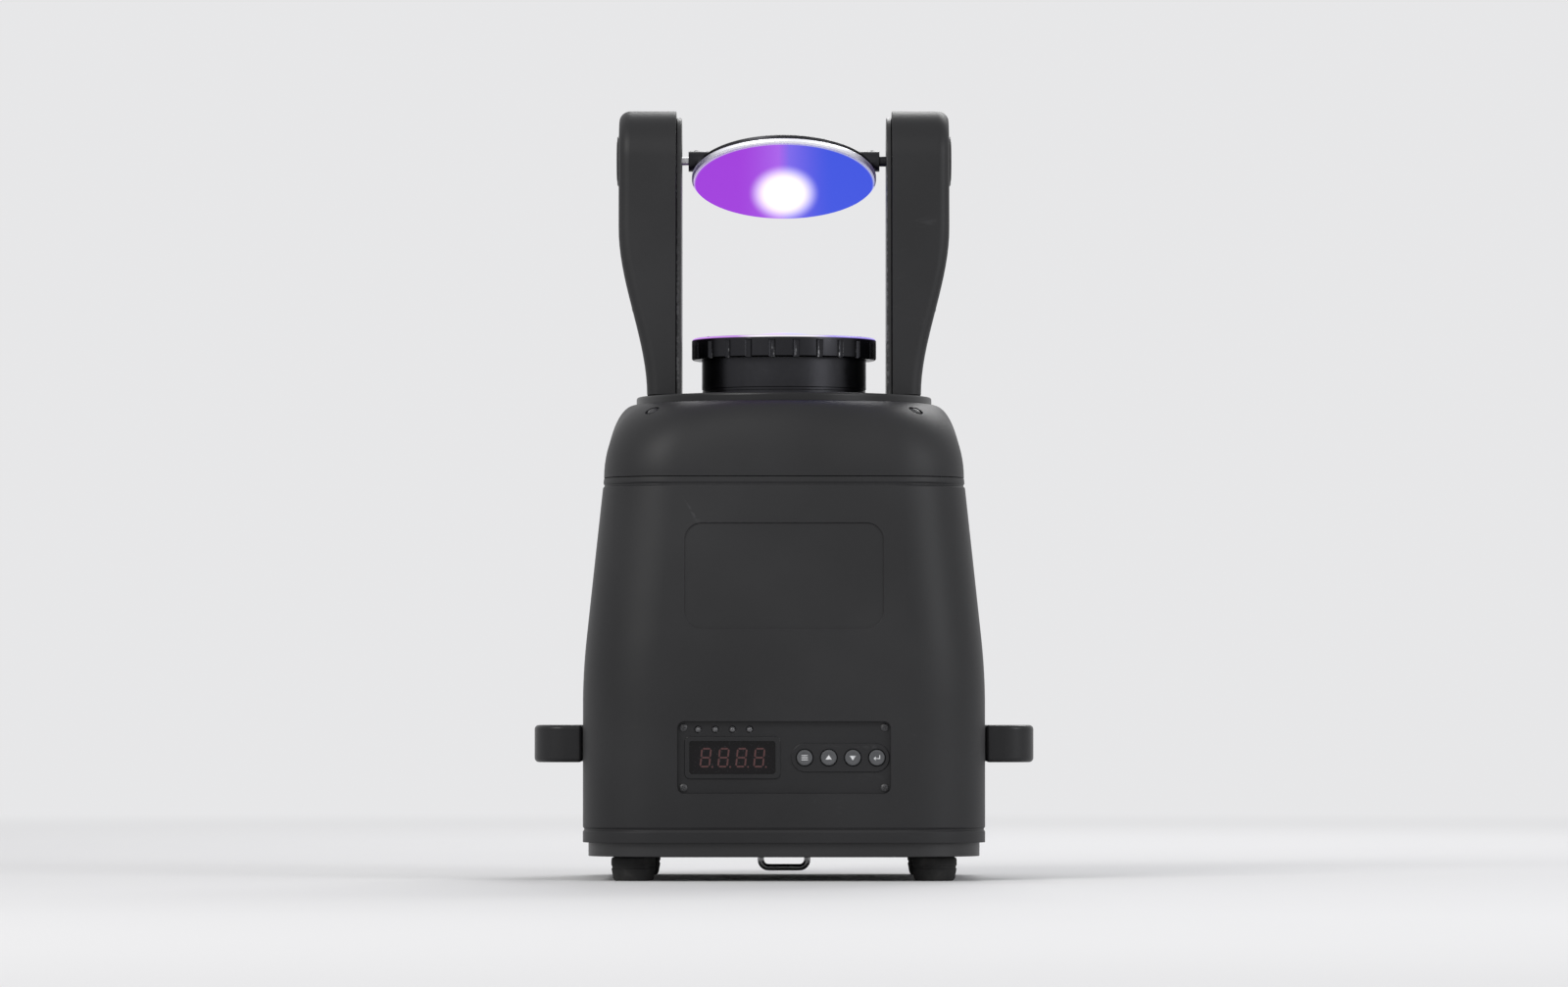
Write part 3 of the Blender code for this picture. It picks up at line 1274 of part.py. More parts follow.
def make_barrel():
    bore = BARREL_RADIUS - BARREL_WALL
    flange = BARREL_RADIUS + BARREL_FLANGE_LAP
    ledge = BARREL_TOP - FRONT_LENS_EDGE - 2 * SEAT_GAP
    lens_seat = FRONT_LENS_RADIUS + RUN_GAP
    turned(
        "lens_barrel",
        "black_aluminium",
        [
            (BARREL_RADIUS, BARREL_TOP),
            (BARREL_RADIUS, BARREL_Z + BARREL_FLANGE),
            (flange, BARREL_Z + BARREL_FLANGE),
            (flange, BARREL_Z),
            (bore, BARREL_Z),
            (bore, ledge),
            (lens_seat, ledge),
            (lens_seat, BARREL_TOP),
        ],
    )
    low = ledge + SEAT_GAP
    high = low + FRONT_LENS_EDGE
    clear = BEZEL_APERTURE - 2 * RUN_GAP
    face = dome(clear, high, FRONT_LENS_DOME)
    edge = [(FRONT_LENS_RADIUS, high), (FRONT_LENS_RADIUS, low), (0, low)]
    turned("front_lens", "glass", face + edge, ring=False)


def make_bezel():
    """The ring that holds the front lens, with grips round its edge."""
    low = BEZEL_TOP - BEZEL_HEIGHT
    soft = 0.0015
    bezel = turned(
        "lens_bezel",
        "black_aluminium",
        [
            (BEZEL_RADIUS - soft, BEZEL_TOP),
            (BEZEL_RADIUS, BEZEL_TOP - soft),
            (BEZEL_RADIUS, low + soft),
            (BEZEL_RADIUS - soft, low),
            (BARREL_RADIUS + RUN_GAP, low),
            (BARREL_RADIUS + RUN_GAP, BARREL_TOP + SEAT_GAP),
            (BEZEL_APERTURE, BARREL_TOP + SEAT_GAP),
            (BEZEL_APERTURE, BEZEL_TOP - 2 * soft),
            (BEZEL_APERTURE + 2 * soft, BEZEL_TOP),
        ],
    )
    grips = circle(BEZEL_RADIUS + GRIP_RADIUS / 2, BEZEL_GRIPS, start=pi / BEZEL_GRIPS)
    cut(bezel, rods(GRIP_RADIUS, low - WALL, BEZEL_TOP - 2 * soft, grips, sides=6))


# Pan bearing, gear, turntable and yoke


def involute_point(base, radius):
    """The angle that an involute has turned by when it reaches a radius."""
    ratio = max(1.0, radius / base)
    return (ratio**2 - 1) ** 0.5 - acos(1 / ratio)


def gear_outline(teeth, start=0.0):
    """Teeth of the same module, with the first one's middle at the start angle."""
    pitch = GEAR_MODULE * teeth / 2
    base = pitch * cos(PRESSURE_ANGLE)
    tip, root = pitch + TOOTH_TALL * GEAR_MODULE, pitch - TOOTH_DEEP * GEAR_MODULE
    half_tooth = pi / (2 * teeth) - TOOTH_BACKLASH / (2 * pitch)
    at_pitch = involute_point(base, pitch)
    flank = []
    for radius in (root, pitch, tip):
        flank.append((radius, half_tooth + at_pitch - involute_point(base, radius)))
    points = []
    for k in range(teeth):
        middle = start + 2 * pi * k / teeth
        points += [(r * cos(middle - a), r * sin(middle - a)) for r, a in flank]
        points += [(r * cos(middle + a), r * sin(middle + a)) for r, a in reversed(flank)]
    return points


def make_bearing():
    """Inner race with its ring of balls, which run in the turntable's hub."""
    outer, top = RACE_RADIUS + RACE_THICK, BEARING_Z + BEARING_WIDTH
    race = [(outer, top), (outer, BEARING_Z), (RACE_RADIUS, BEARING_Z), (RACE_RADIUS, top)]
    bearing = turned("pan_bearing", "bearing", race)
    bm = bmesh.new()
    for x, y in circle(BALL_RING, BALL_COUNT, start=0.05):
        place = Matrix.Translation((x, y, BEARING_Z + BEARING_WIDTH / 2))
        bmesh.ops.create_icosphere(bm, subdivisions=1, radius=BALL_RADIUS, matrix=place)
    add(bearing, to_mesh(bm, "balls"))


def make_turntable(pan):
    """A disc with a skirt, and under it a hub whose teeth the pan motor's pinion drives."""
    under = TURNTABLE_TOP - TURNTABLE_THICK
    skirt_bore = TURNTABLE_RADIUS - SKIRT_WALL
    bore = BARREL_RADIUS + SWING_GAP
    soft = 0.001
    turntable = turned(
        "turntable",
        "housing",
        [
            (TURNTABLE_RADIUS - soft, TURNTABLE_TOP),
            (TURNTABLE_RADIUS, TURNTABLE_TOP - soft),
            (TURNTABLE_RADIUS, under - SKIRT_HEIGHT),
            (skirt_bore, under - SKIRT_HEIGHT),
            (skirt_bore, under),
            (bore, under),
            (bore, TURNTABLE_TOP),
        ],
    )
    put(turntable, on=pan)
    teeth = gear_outline(GEAR_TEETH, PINION_DIRECTION + pi / GEAR_TEETH)
    add(turntable, flat([teeth, circle(HUB_BORE, FINE)], GEAR_Z, TURNTABLE_TOP - TURNTABLE_THICK / 2))

    spin = axis_empty("pan_pinion_axle", (*PINION_AT, 0))
    gear_top = GEAR_Z + GEAR_WIDTH
    teeth = gear_outline(PINION_TEETH, PINION_DIRECTION + pi)
    pinion = node("pan_pinion", flat([teeth], GEAR_Z, gear_top), "brass")
    put(pinion, (*PINION_AT, 0), on=spin)
    shaft_low = HEAD_PLATE_HEIGHT - SEAT_GAP - MOTOR_BORE_DEPTH + 2 * RUN_GAP
    add(pinion, rods(SHAFT_RADIUS, shaft_low, gear_top + 0.0015, [(0, 0)]))


def arm_outline(foot_half, foot_z, top_radius, flank_steps=0, arc_steps=8):
    """A plate that narrows from its foot to a round top, from the right foot over to the left one."""
    rise = TILT_Z - foot_z
    reach = hypot(foot_half, rise)
    lean = atan2(-rise, foot_half) + acos(top_radius / reach)
    right = arc(top_radius, lean, pi / 2, arc_steps // 2, (0, TILT_Z))
    foot, end = Vector((foot_half, foot_z)), Vector(right[0])
    shares = [k / (flank_steps + 1) for k in range(flank_steps + 1)]
    right = [tuple(foot.lerp(end, share)) for share in shares] + right
    left = [(-y, z) for y, z in reversed(right[:-1])]
    return right + left


def make_yoke(pan):
    outline = arm_outline(YOKE_FOOT_HALF, YOKE_Z, YOKE_TOP_RADIUS)
    for name, side in (("yoke_left", -1), ("yoke_right", 1)):
        inner, outer = YOKE_X, YOKE_X + YOKE_SHEET
        low, high = sorted((side * inner, side * outer))
        bore = PILOT_RADIUS + SEAT_GAP if side < 0 else LUG_RADIUS / 2 + RUN_GAP
        loops = [outline, circle(bore, MEDIUM, (0, TILT_Z))]
        plate = node(name, flat(loops, low, high, "YZ"), "painted_metal")
        put(plate, on=pan)
        reach = COVER_X + COVER_FOOT_DEPTH - COVER_WALL - SWING_GAP
        x0, x1 = sorted((side * (outer - YOKE_SHEET / 2), side * reach))
        half = YOKE_FOOT_HALF - COVER_WALL - COVER_LAP
        add(plate, boxes(((x0, -half, YOKE_Z + FLUSH), (x1, half, YOKE_Z + YOKE_SHEET))))


def cover_reach(z):
    """How far out the cover stands at a height: narrow at the foot and full at the motor."""
    full = TILT_Z - 1.6 * YOKE_TOP_RADIUS
    share = min(1.0, max(0.0, (z - YOKE_Z) / (full - YOKE_Z)))
    ease = share * share * (3 - 2 * share)
    return COVER_FOOT_DEPTH + (COVER_DEPTH - COVER_FOOT_DEPTH) * ease


def make_yoke_covers(pan):
    radius = YOKE_TOP_RADIUS + COVER_LAP
    half = YOKE_FOOT_HALF + COVER_LAP / 2
    outline = arm_outline(half, YOKE_Z, radius, flank_steps=3, arc_steps=10)
    for name, side in (("yoke_cover_left", -1), ("yoke_cover_right", 1)):
        rings = []
        for depth, inset in ((0.0, 0.0), (-1.0, 0.0), (-0.35, 0.35), (0.0, 1.0)):
            ring = []
            for y, z in outline:
                out = cover_reach(z) + depth * COVER_EDGE if rings else 0.0
                shrink = 1 - inset * COVER_EDGE / half
                spine = TILT_Z if z > TILT_Z else z
                ring.append((side * (COVER_X + out), y * shrink, spine + (z - spine) * shrink))
            rings.append(ring if side > 0 else ring[::-1])
        cover = thicken(node(name, loft(rings, closed_ring=False, cap_pairs=True), "housing"), COVER_WALL)
        put(cover, on=pan)


def make_tilt_drive(pan, tilt):
    face = -(YOKE_X + YOKE_SHEET + SEAT_GAP)
    make_motor("tilt_motor", SMALL_MOTOR, SMALL_MOTOR_LENGTH, face, -1, (0, TILT_Z), "YZ", pan, PILOT_HEIGHT)
    bore_end = face - MOTOR_BORE_DEPTH
    shaft_end = -(LUG_INNER + LUG_WALL + RUN_GAP)
    shaft = node("tilt_shaft", rods(SHAFT_RADIUS, bore_end + 2 * RUN_GAP, shaft_end, [(0, 0)], "X"), "steel")
    put(shaft, (0, 0, TILT_Z), on=tilt)


def make_mirror(tilt):
    """Drawn face down round the tilt axle, then leaned to its rest angle."""
    lean = (-MIRROR_REST_TILT, 0, 0)
    at = (0, 0, TILT_Z)
    face, soft = -MIRROR_AHEAD, 0.0008
    back = face + MIRROR_THICK
    glass = turned(
        "mirror_glass",
        "mirror",
        [
            (0, back),
            (MIRROR_RADIUS, back),
            (MIRROR_RADIUS, face + soft),
            (MIRROR_RADIUS - soft, face),
            (0, face),
        ],
        ring=False,
    )
    put(glass, at, lean, tilt)

    low = back + SEAT_GAP
    high = low + CARRIER_THICK
    radius = MIRROR_RADIUS - CARRIER_INSET
    carrier = node("mirror_carrier", rods(radius, low, high, [(0, 0)], sides=FINE), "black_aluminium")
    put(carrier, at, lean, tilt)
    outer, inner = LUG_OUTER, LUG_INNER
    sink = low + CARRIER_THICK / 2
    for side in (-1, 1):
        x0, x1 = sorted((side * inner, side * outer))
        add(carrier, rods(LUG_RADIUS, x0, x1, [(0, 0)], "X", 16))
        web = LUG_RADIUS * 0.9
        x0, x1 = sorted((side * inner, side * (radius - 0.004)))
        add(carrier, boxes(((x0 + FLUSH, -web, sink), (x1 - FLUSH, web, 0))))
    rib = 0.0015
    add(carrier, boxes(((-inner - 0.001, -rib, sink), (inner + 0.001, rib, -0.0005))))
    cut(carrier, rods(SHAFT_RADIUS + RUN_GAP, -outer - WALL, -inner - LUG_WALL, [(0, 0)], "X"))
    add(carrier, rods(LUG_RADIUS / 2, outer - 0.001, YOKE_X + 1.8 * YOKE_SHEET, [(0, 0)], "X"))


def make_head():
    make_bearing()
    pan = axis_empty("pan_axis", (0, 0, 0))
    make_turntable(pan)
    make_yoke(pan)
    make_yoke_covers(pan)
    tilt = axis_empty("tilt_axis", (0, 0, TILT_Z))
    make_tilt_drive(pan, tilt)
    make_mirror(tilt)


make_feet()
make_tray()
make_shell("front_shell", -1, PANEL_OPENING, PANEL_HEIGHT)
make_shell("rear_shell", 1, PLATE_OPENING, PLATE_HEIGHT)
make_shoulder()
make_handles()
make_panel()
make_connector_plate()
make_power_connectors()
make_dmx_connectors()
make_power_supply()
make_fan()
make_heat_sink()
make_lamp()
make_frames()
make_wheel_plate()
make_wheels()
make_focus()
make_head_plate()
make_barrel()
make_bezel()
make_head()
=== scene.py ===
"""Looks for an upright LED scanner light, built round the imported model.

Lengths are millimetres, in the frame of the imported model: the tower stands on the floor at
the origin, its front faces -Y, +Z is up.
"""

from math import acos, atan2, cos, hypot, pi, radians, sin, sqrt

import bmesh
import bpy
from mathutils import Matrix, Vector


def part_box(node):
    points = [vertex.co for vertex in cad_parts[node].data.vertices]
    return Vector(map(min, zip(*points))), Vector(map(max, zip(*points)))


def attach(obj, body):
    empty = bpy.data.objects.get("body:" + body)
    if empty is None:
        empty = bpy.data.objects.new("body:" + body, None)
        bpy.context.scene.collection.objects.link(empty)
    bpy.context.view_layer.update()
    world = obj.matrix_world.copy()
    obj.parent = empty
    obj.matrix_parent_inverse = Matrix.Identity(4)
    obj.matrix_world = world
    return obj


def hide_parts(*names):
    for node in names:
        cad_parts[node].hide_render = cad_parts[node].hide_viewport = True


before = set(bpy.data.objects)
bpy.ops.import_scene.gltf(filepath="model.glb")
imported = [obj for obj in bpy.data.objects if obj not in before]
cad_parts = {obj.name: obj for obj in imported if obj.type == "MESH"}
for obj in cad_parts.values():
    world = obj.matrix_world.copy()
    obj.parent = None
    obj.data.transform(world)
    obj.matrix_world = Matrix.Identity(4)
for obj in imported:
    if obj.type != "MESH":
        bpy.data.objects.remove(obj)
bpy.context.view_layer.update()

MM = 0.001
SIDES = (-1, 1)
QUADRANTS = [(a, b) for a in SIDES for b in SIDES]

# Sizes of the tower
BODY_HALF, TOWER_HALF, CORNER, WALL = 118.0, 106.0, 44.0, 3.0
SHELL_LOW, WAIST, WAIST_BLEND, SHELL_TOP = 22.3, 122.0, 20.0, 236.0
SHOULDER_LOW, SHOULDER_RISE, OPENING = 236.3, 45.0, 89.0
RING_POINTS, RECESS_Z = 256, 178.0
SEAM_Y, SEAM_HEIGHTS, WELL_DEEP, FILTER_GAP = 24.0, (36.0, 224.0), 1.6, 0.4
FOOT_AT = 88
TRAY_LOW, TRAY_FLOOR, TRAY_HALF, PAD_LOW = 14.3, 2.5, 114.7, 12.8
BRACKET_HOLES = [(sx * 70, sy * 30) for sx, sy in QUADRANTS]
LOOP_HALF, LOOP_Y, LOOP_BEND, LOOP_BEND_Z, LOOP_WIRE = 14.0, 60, 4.6, 9.6, 2

# Sizes of the head
GEAR_TEETH, BEZEL_TOP = 54, 321.3
LENS_TOP, LENS_RISE, LENS_REACH = 325.0, 9.0, 43.4
YOKE_FOOT, YOKE_X, YOKE_SHEET, ARM_HALF, ARM_TOP = 286.6, 61.0, 3.0, 32.0, 26.0
COVER_X, COVER_WIDE, COVER_NARROW, COVER_EDGE, COVER_LAP, COVER_WALL = 64.3, 34.0, 17.0, 7.0, 4.0, 2.5
MIRROR_AHEAD, MIRROR_THICK, MIRROR_TILT = 13.0, 3.0, radians(20.6)
TILT_Z = BEZEL_TOP + 94.0 + MIRROR_AHEAD * cos(MIRROR_TILT)

# Sizes of the control panel and the connector plate
PANEL_Z, PANEL_FACE, DISPLAY_X = 72.0, -114.7, -30
STATUS_X, STATUS_RISE = (-50, -40, -30, -20), 16.4
BUTTONS = {"menu": 12.0, "up": 26.0, "down": 40.0, "enter": 54.0}
PLATE_Z, PLATE_FACE = 70.0, 114.7
INLET_X, OUTLET_X, SIGNAL_IN_X, SIGNAL_OUT_X = -51, -16, 18, 50
POWER_Z, DRAWER_Z = PLATE_Z + 9, 56.5
BLADES = ((-7, -2.5), (0, 2.5), (7, -2.5))


# Modelling helpers


def pick(*objects):
    bpy.ops.object.select_all(action="DESELECT")
    for obj in objects:
        obj.select_set(True)
    bpy.context.view_layer.objects.active = objects[0]


def added(primitive, **settings):
    """What a primitive's operator adds."""
    bpy.ops.object.select_all(action="DESELECT")
    primitive(**settings)
    return bpy.context.object


def settled(obj):
    """Moves a piece's place, turn and scale into its mesh."""
    pick(obj)
    bpy.ops.object.transform_apply(location=True, rotation=True, scale=True)
    return obj


def enter(obj):
    """Opens a piece in edit mode, with all of it selected."""
    pick(obj)
    bpy.ops.object.mode_set(mode="EDIT")
    bpy.ops.mesh.select_all(action="SELECT")
    return bpy.ops.mesh


def leave(obj):
    bpy.ops.object.mode_set(mode="OBJECT")
    return obj


def block(low, high):
    middle = [(a + b) / 2 * MM for a, b in zip(low, high)]
    obj = added(bpy.ops.mesh.primitive_cube_add, size=1, location=middle)
    obj.scale = [(b - a) * MM for a, b in zip(low, high)]
    return settled(obj)


def rod(radius, low, high, at=(0, 0), axis="Z", sides=48):
    """A round rod from low to high along an axis."""
    middle = (low + high) / 2
    place = {"Z": (*at, middle), "X": (middle, *at), "Y": (at[0], middle, at[1])}[axis]
    return settled(added(
        bpy.ops.mesh.primitive_cone_add, vertices=sides, radius1=radius * MM, radius2=radius * MM,
        depth=(high - low) * MM, location=[c * MM for c in place],
        rotation={"Z": (0, 0, 0), "X": (0, pi / 2, 0), "Y": (-pi / 2, 0, 0)}[axis],
    ))


def round_edges(obj, test, radius, segments):
    """Rounds the edges whose middle and direction pass a test."""
    enter(obj).select_mode(type="EDGE")
    bpy.ops.mesh.select_all(action="DESELECT")
    for edge in bmesh.from_edit_mesh(obj.data).edges:
        a, b = edge.verts[0].co, edge.verts[1].co
        if test((a + b) / 2 / MM, (b - a).normalized()):
            edge.select_set(True)
    bmesh.update_edit_mesh(obj.data)
    bpy.ops.mesh.bevel(offset=radius * MM, segments=segments, affect="EDGES", clamp_overlap=True)
    return leave(obj)


def apply(obj, kind, **settings):
    pick(obj)
    modifier = obj.modifiers.new(kind.title(), kind)
    for key, value in settings.items():
        setattr(modifier, key, value)
    bpy.ops.object.modifier_apply(modifier=modifier.name)
    return obj


def soften(obj, width=0.5, segments=3, angle=32):
    return apply(
        obj, "BEVEL", width=width * MM, segments=segments, limit_method="ANGLE",
        angle_limit=radians(angle), miter_outer="MITER_ARC", use_clamp_overlap=False,
    )


def combined(obj, tools, operation):
    for tool in tools:
        apply(obj, "BOOLEAN", object=tool, operation=operation, solver="EXACT")
        bpy.data.objects.remove(tool)
    return obj


def cut(obj, *tools):
    return combined(obj, tools, "DIFFERENCE")


def weld(obj, *tools):
    return combined(obj, tools, "UNION")


def join(*objects):
    pick(*objects)
    if len(objects) > 1:
        bpy.ops.object.join()
    return bpy.context.object


def clean(obj):
    """Merges doubles and turns the faces outwards."""
    mesh = enter(obj)
    mesh.remove_doubles(threshold=0.00001)
    mesh.normals_make_consistent(inside=False)
    return leave(obj)


def moved(obj, offset=(0, 0, 0), turn=0.0, axis="Z", about=(0, 0, 0)):
    """Moves a piece in its mesh: a turn about an axis through a point, then a shift."""
    about = Vector(about) * MM
    place = Matrix.Translation(about + Vector(offset) * MM) @ Matrix.Rotation(turn, 4, axis)
    obj.data.transform(place @ Matrix.Translation(-about))
    return obj


def copy(obj, **place):
    twin = obj.copy()
    twin.data = obj.data.copy()
    bpy.context.scene.collection.objects.link(twin)
    return moved(twin, **place)


def spread(obj, places):
    """Copies of a piece, one for each move, as one mesh in place of the first."""
    copies = [copy(obj, **place) for place in places]
    bpy.data.objects.remove(obj)
    return join(*copies)


def flipped(obj, axis=0):
    """Mirrors a piece across a plane through the origin."""
    obj.data.transform(Matrix.Diagonal([-1 if k == axis else 1 for k in range(3)]).to_4x4())
    obj.data.flip_normals()
    return obj


def along(obj, axis):
    """Turns a piece that was made round +Z so that its +Z lies along another axis."""
    turn, about = {
        "+X": (pi / 2, "Y"), "-X": (-pi / 2, "Y"),
        "+Y": (-pi / 2, "X"), "-Y": (pi / 2, "X"),
        "+Z": (0, "X"), "-Z": (pi, "X"),
    }[axis]
    return moved(obj, turn=turn, axis=about)


def outward(side):
    return "+X" if side > 0 else "-X"


def span(side, near, far):
    """Two distances on one side of a middle plane, in rising order."""
    return sorted((side * near, side * far))


def turned(profile, steps, at=(0, 0)):
    """A profile of (radius, height) spun round an upright axis. It may start and end on the axis."""
    obj = added(bpy.ops.mesh.primitive_plane_add, size=MM, location=(0, 0, 0))
    mesh = enter(obj)
    mesh.select_mode(type="VERT")
    mesh.select_all(action="SELECT")
    mesh.merge(type="CENTER")
    bpy.ops.transform.translate(value=Vector((profile[0][0], 0, profile[0][1])) * MM)
    for (r0, z0), (r1, z1) in zip(profile, profile[1:]):
        step = ((r1 - r0) * MM, 0, (z1 - z0) * MM)
        mesh.extrude_region_move(TRANSFORM_OT_translate={"value": step})
    mesh.select_all(action="SELECT")
    mesh.spin(steps=steps, angle=2 * pi, center=(0, 0, 0), axis=(0, 0, 1))
    return moved(clean(leave(obj)), offset=(*at, 0))


def surface(rows, closed=True):
    """A skin over rows of as many points each, from a grid. Where it is closed it is a tube."""
    points = len(rows[0])
    columns = points + 1 if closed else points
    grid = {"x_subdivisions": columns - 1, "y_subdivisions": len(rows) - 1}
    obj = added(bpy.ops.mesh.primitive_grid_add, size=1, **grid)
    for k, vertex in enumerate(obj.data.vertices):
        row, column = divmod(k, columns)
        vertex.co = Vector(rows[row][column % points]) * MM
    return clean(obj)


def flattened(obj):
    """Joins faces that lie in one plane."""
    enter(obj).dissolve_limited(angle_limit=radians(0.4))
    return leave(obj)


def sliced(obj, point, normal, fill=False):
    """Cuts away the side that the normal points to."""
    plane = {"plane_co": Vector(point) * MM, "plane_no": normal}
    enter(obj).bisect(**plane, clear_outer=True, use_fill=fill, threshold=1e-7)
    return leave(obj)


def slab(outline, low, high, axis="Z"):
    """A plate with a given outline, between two heights on an axis."""
    order = {"Z": (0, 1, 2), "Y": (0, 2, 1), "X": (2, 0, 1)}[axis]
    circle = {"vertices": len(outline), "radius": 1, "fill_type": "NGON"}
    obj = added(bpy.ops.mesh.primitive_circle_add, **circle)
    for vertex, (u, v) in zip(obj.data.vertices, outline):
        point = (u, v, low)
        vertex.co = Vector([point[k] for k in order]) * MM
    step = [0, 0, (high - low) * MM]
    enter(obj).extrude_region_move(TRANSFORM_OT_translate={"value": [step[k] for k in order]})
    return clean(leave(obj))


def arc(radius, start, end, steps, centre=(0, 0)):
    angles = [start + (end - start) * k / steps for k in range(steps + 1)]
    return [(centre[0] + radius * cos(a), centre[1] + radius * sin(a)) for a in angles]


def rounded(width, height, radius, steps=6, centre=(0, 0)):
    """The outline of a rectangle with round corners."""
    points = []
    for k, (sx, sy) in enumerate(((1, 1), (-1, 1), (-1, -1), (1, -1))):
        middle = (centre[0] + sx * (width / 2 - radius), centre[1] + sy * (height / 2 - radius))
        points += arc(radius, k * pi / 2, (k + 1) * pi / 2, steps, middle)
    return points


def tablet(width, height, radius, steps, centre, low, high):
    """A plate with round corners that stands across Y."""
    return slab(rounded(width, height, radius, steps, centre), low, high, "Y")


def finished(obj, name, body, look, slot, *nodes):
    """Names a piece, gives it its finish and lets it ride on its body."""
    obj.name = obj.data.name = name
    obj.data.materials.clear()
    obj.data.materials.append(look)
    pick(obj)
    bpy.ops.object.shade_smooth_by_angle(angle=radians(32))
    apply(obj, "WEIGHTED_NORMAL", keep_sharp=True)
    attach(obj, body)
    if nodes:
        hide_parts(*nodes)


# Materials


class Field:
    """A number, colour or vector that varies over a surface. Sums on it add Math nodes."""

    def __init__(self, shading, socket):
        self.shading, self.socket = shading, socket

    def maths(self, operation, *others):
        return self.shading.node("Math", {"operation": operation}, dict(enumerate((self, *others))))

    def __add__(self, other):
        return self.maths("ADD", other)

    def __sub__(self, other):
        return self.maths("SUBTRACT", other)

    def __mul__(self, other):
        return self.maths("MULTIPLY", other)

    def __truediv__(self, other):
        return self.maths("DIVIDE", other)

    def __rsub__(self, other):
        return self.shading.node("Math", {"operation": "SUBTRACT"}, {0: other, 1: self})

    __radd__, __rmul__ = __add__, __mul__

    def wave(self, pitch):
        """A sine over this field, one wave for each pitch."""
        return (self * (2 * pi / pitch)).maths("SINE")

    def above(self, low, high):
        """Rises from 0 to 1 as this field goes from low to high."""
        values = {"Value": self, "From Min": low, "From Max": high}
        return self.shading.node("MapRange", {"interpolation_type": "SMOOTHSTEP"}, values)

    def below(self, low, high):
        return 1 - self.above(low, high)


class Shading:
    """The nodes of a material or of the world."""

    def __init__(self, owner):
        owner.use_nodes = True
        self.tree = owner.node_tree

    def node(self, kind, settings, values, output=0):
        """Adds a node with its settings, then the numbers or fields on its sockets."""
        node = self.tree.nodes.new("ShaderNode" + kind)
        for key, value in settings.items():
            if key == "stops":
                ramp = node.color_ramp
                while len(ramp.elements) < len(value):
                    ramp.elements.new(0.5)
                for element, (position, colour) in zip(ramp.elements, value):
                    element.position, element.color = position, (*colour, 1)
            else:
                setattr(node.color_ramp if key == "interpolation" else node, key, value)
        for key, value in values.items():
            if isinstance(value, Field):
                self.tree.links.new(value.socket, node.inputs[key])
            else:
                node.inputs[key].default_value = value
        return Field(self, node.outputs[output])


class Look(Shading):
    """One finish: its constants sit on the shader's sockets, and what varies is drawn with fields."""

    def __init__(self, name, colour, **constants):
        self.material = bpy.data.materials.new(name)
        super().__init__(self.material)
        self.material.diffuse_color = (*colour, 1)
        self.shader = self.tree.nodes["Principled BSDF"]
        self.place = self.node("TexCoord", {}, {}, output="Object")
        for key, value in {"Base_Color": (*colour, 1), **constants}.items():
            self.shader.inputs[key.replace("_", " ")].default_value = value

    def made(self, **fields):
        """Joins fields to the shader's sockets and hands over the material."""
        for key, field in fields.items():
            self.tree.links.new(field.socket, self.shader.inputs[key.replace("_", " ")])
        return self.material

    def axis(self, name):
        """A coordinate, in millimetres."""
        return self.node("SeparateXYZ", {}, {0: self.place}, output=name) / MM

    def stretched(self, by):
        return self.node("VectorMath", {"operation": "MULTIPLY"}, {0: self.place, 1: by})

    def noise(self, scale, detail, stretch=None, rough=0.5):
        where = self.stretched(stretch) if stretch else self.place
        values = {"Vector": where, "Scale": scale, "Detail": detail, "Roughness": rough}
        return self.node("TexNoise", {}, values)

    def cells(self, scale, where=None, output=0, **settings):
        return self.node("TexVoronoi", settings, {"Vector": where or self.place, "Scale": scale}, output)

    def mix(self, factor, a, b):
        a, b = [v if isinstance(v, Field) else (*v, 1) for v in (a, b)]
        settings = {"data_type": "RGBA", "clamp_factor": True}
        return self.node("Mix", settings, {0: factor, 6: a, 7: b}, output=2)

    def bump(self, height, distance, strength=1.0):
        """distance is the height of the relief in millimetres."""
        return self.node("Bump", {}, {"Height": height, "Distance": distance * MM, "Strength": strength})

    def worn(self, low=0.53, high=0.62):
        """Where edges have rubbed, broken up by a fine noise."""
        edge = self.node("NewGeometry", {}, {}, output="Pointiness")
        return edge.above(low, high) * self.noise(420, 3).above(0.42, 0.62)

    def radius(self, centre=(0, 0)):
        """Distance from an upright axis, in millimetres."""
        x, y = [self.axis(name) - c for name, c in zip("XY", centre)]
        return (x * x + y * y).maths("SQRT")


BLACK, RUBBED_METAL = (0.0, 0.0, 0.0), (0.35, 0.35, 0.36)


def toned(colour, by):
    return [min(1, c * by) for c in colour]


def moulded_plastic(name, colour, rough, grain):
    """Thermoplastic from a spark-eroded mould: a fine even grain, rubbed on its edges."""
    look = Look(name, colour, Specular_IOR_Level=0.32)
    cloud, speck, edge = look.noise(9, 3), look.noise(1700, 2), look.worn()
    pale, rubbed = [[c * by + plus for c in colour] for by, plus in ((1.55, 0.006), (2.6, 0.020))]
    base = look.mix(cloud.above(0.35, 0.70) * 0.5, colour, pale)
    scuff = look.noise(38, 6, (1, 1, 2.4), 0.68).above(0.60, 0.74) * look.noise(7, 2).above(0.48, 0.66)
    return look.made(
        Base_Color=look.mix((edge * 0.55).maths("MAXIMUM", scuff * 0.30), base, rubbed),
        Roughness=(cloud - 0.5) * 0.12 + (speck - 0.5) * 0.10 + rough - edge * 0.12 + scuff * 0.10,
        Normal=look.bump(speck, grain),
    )


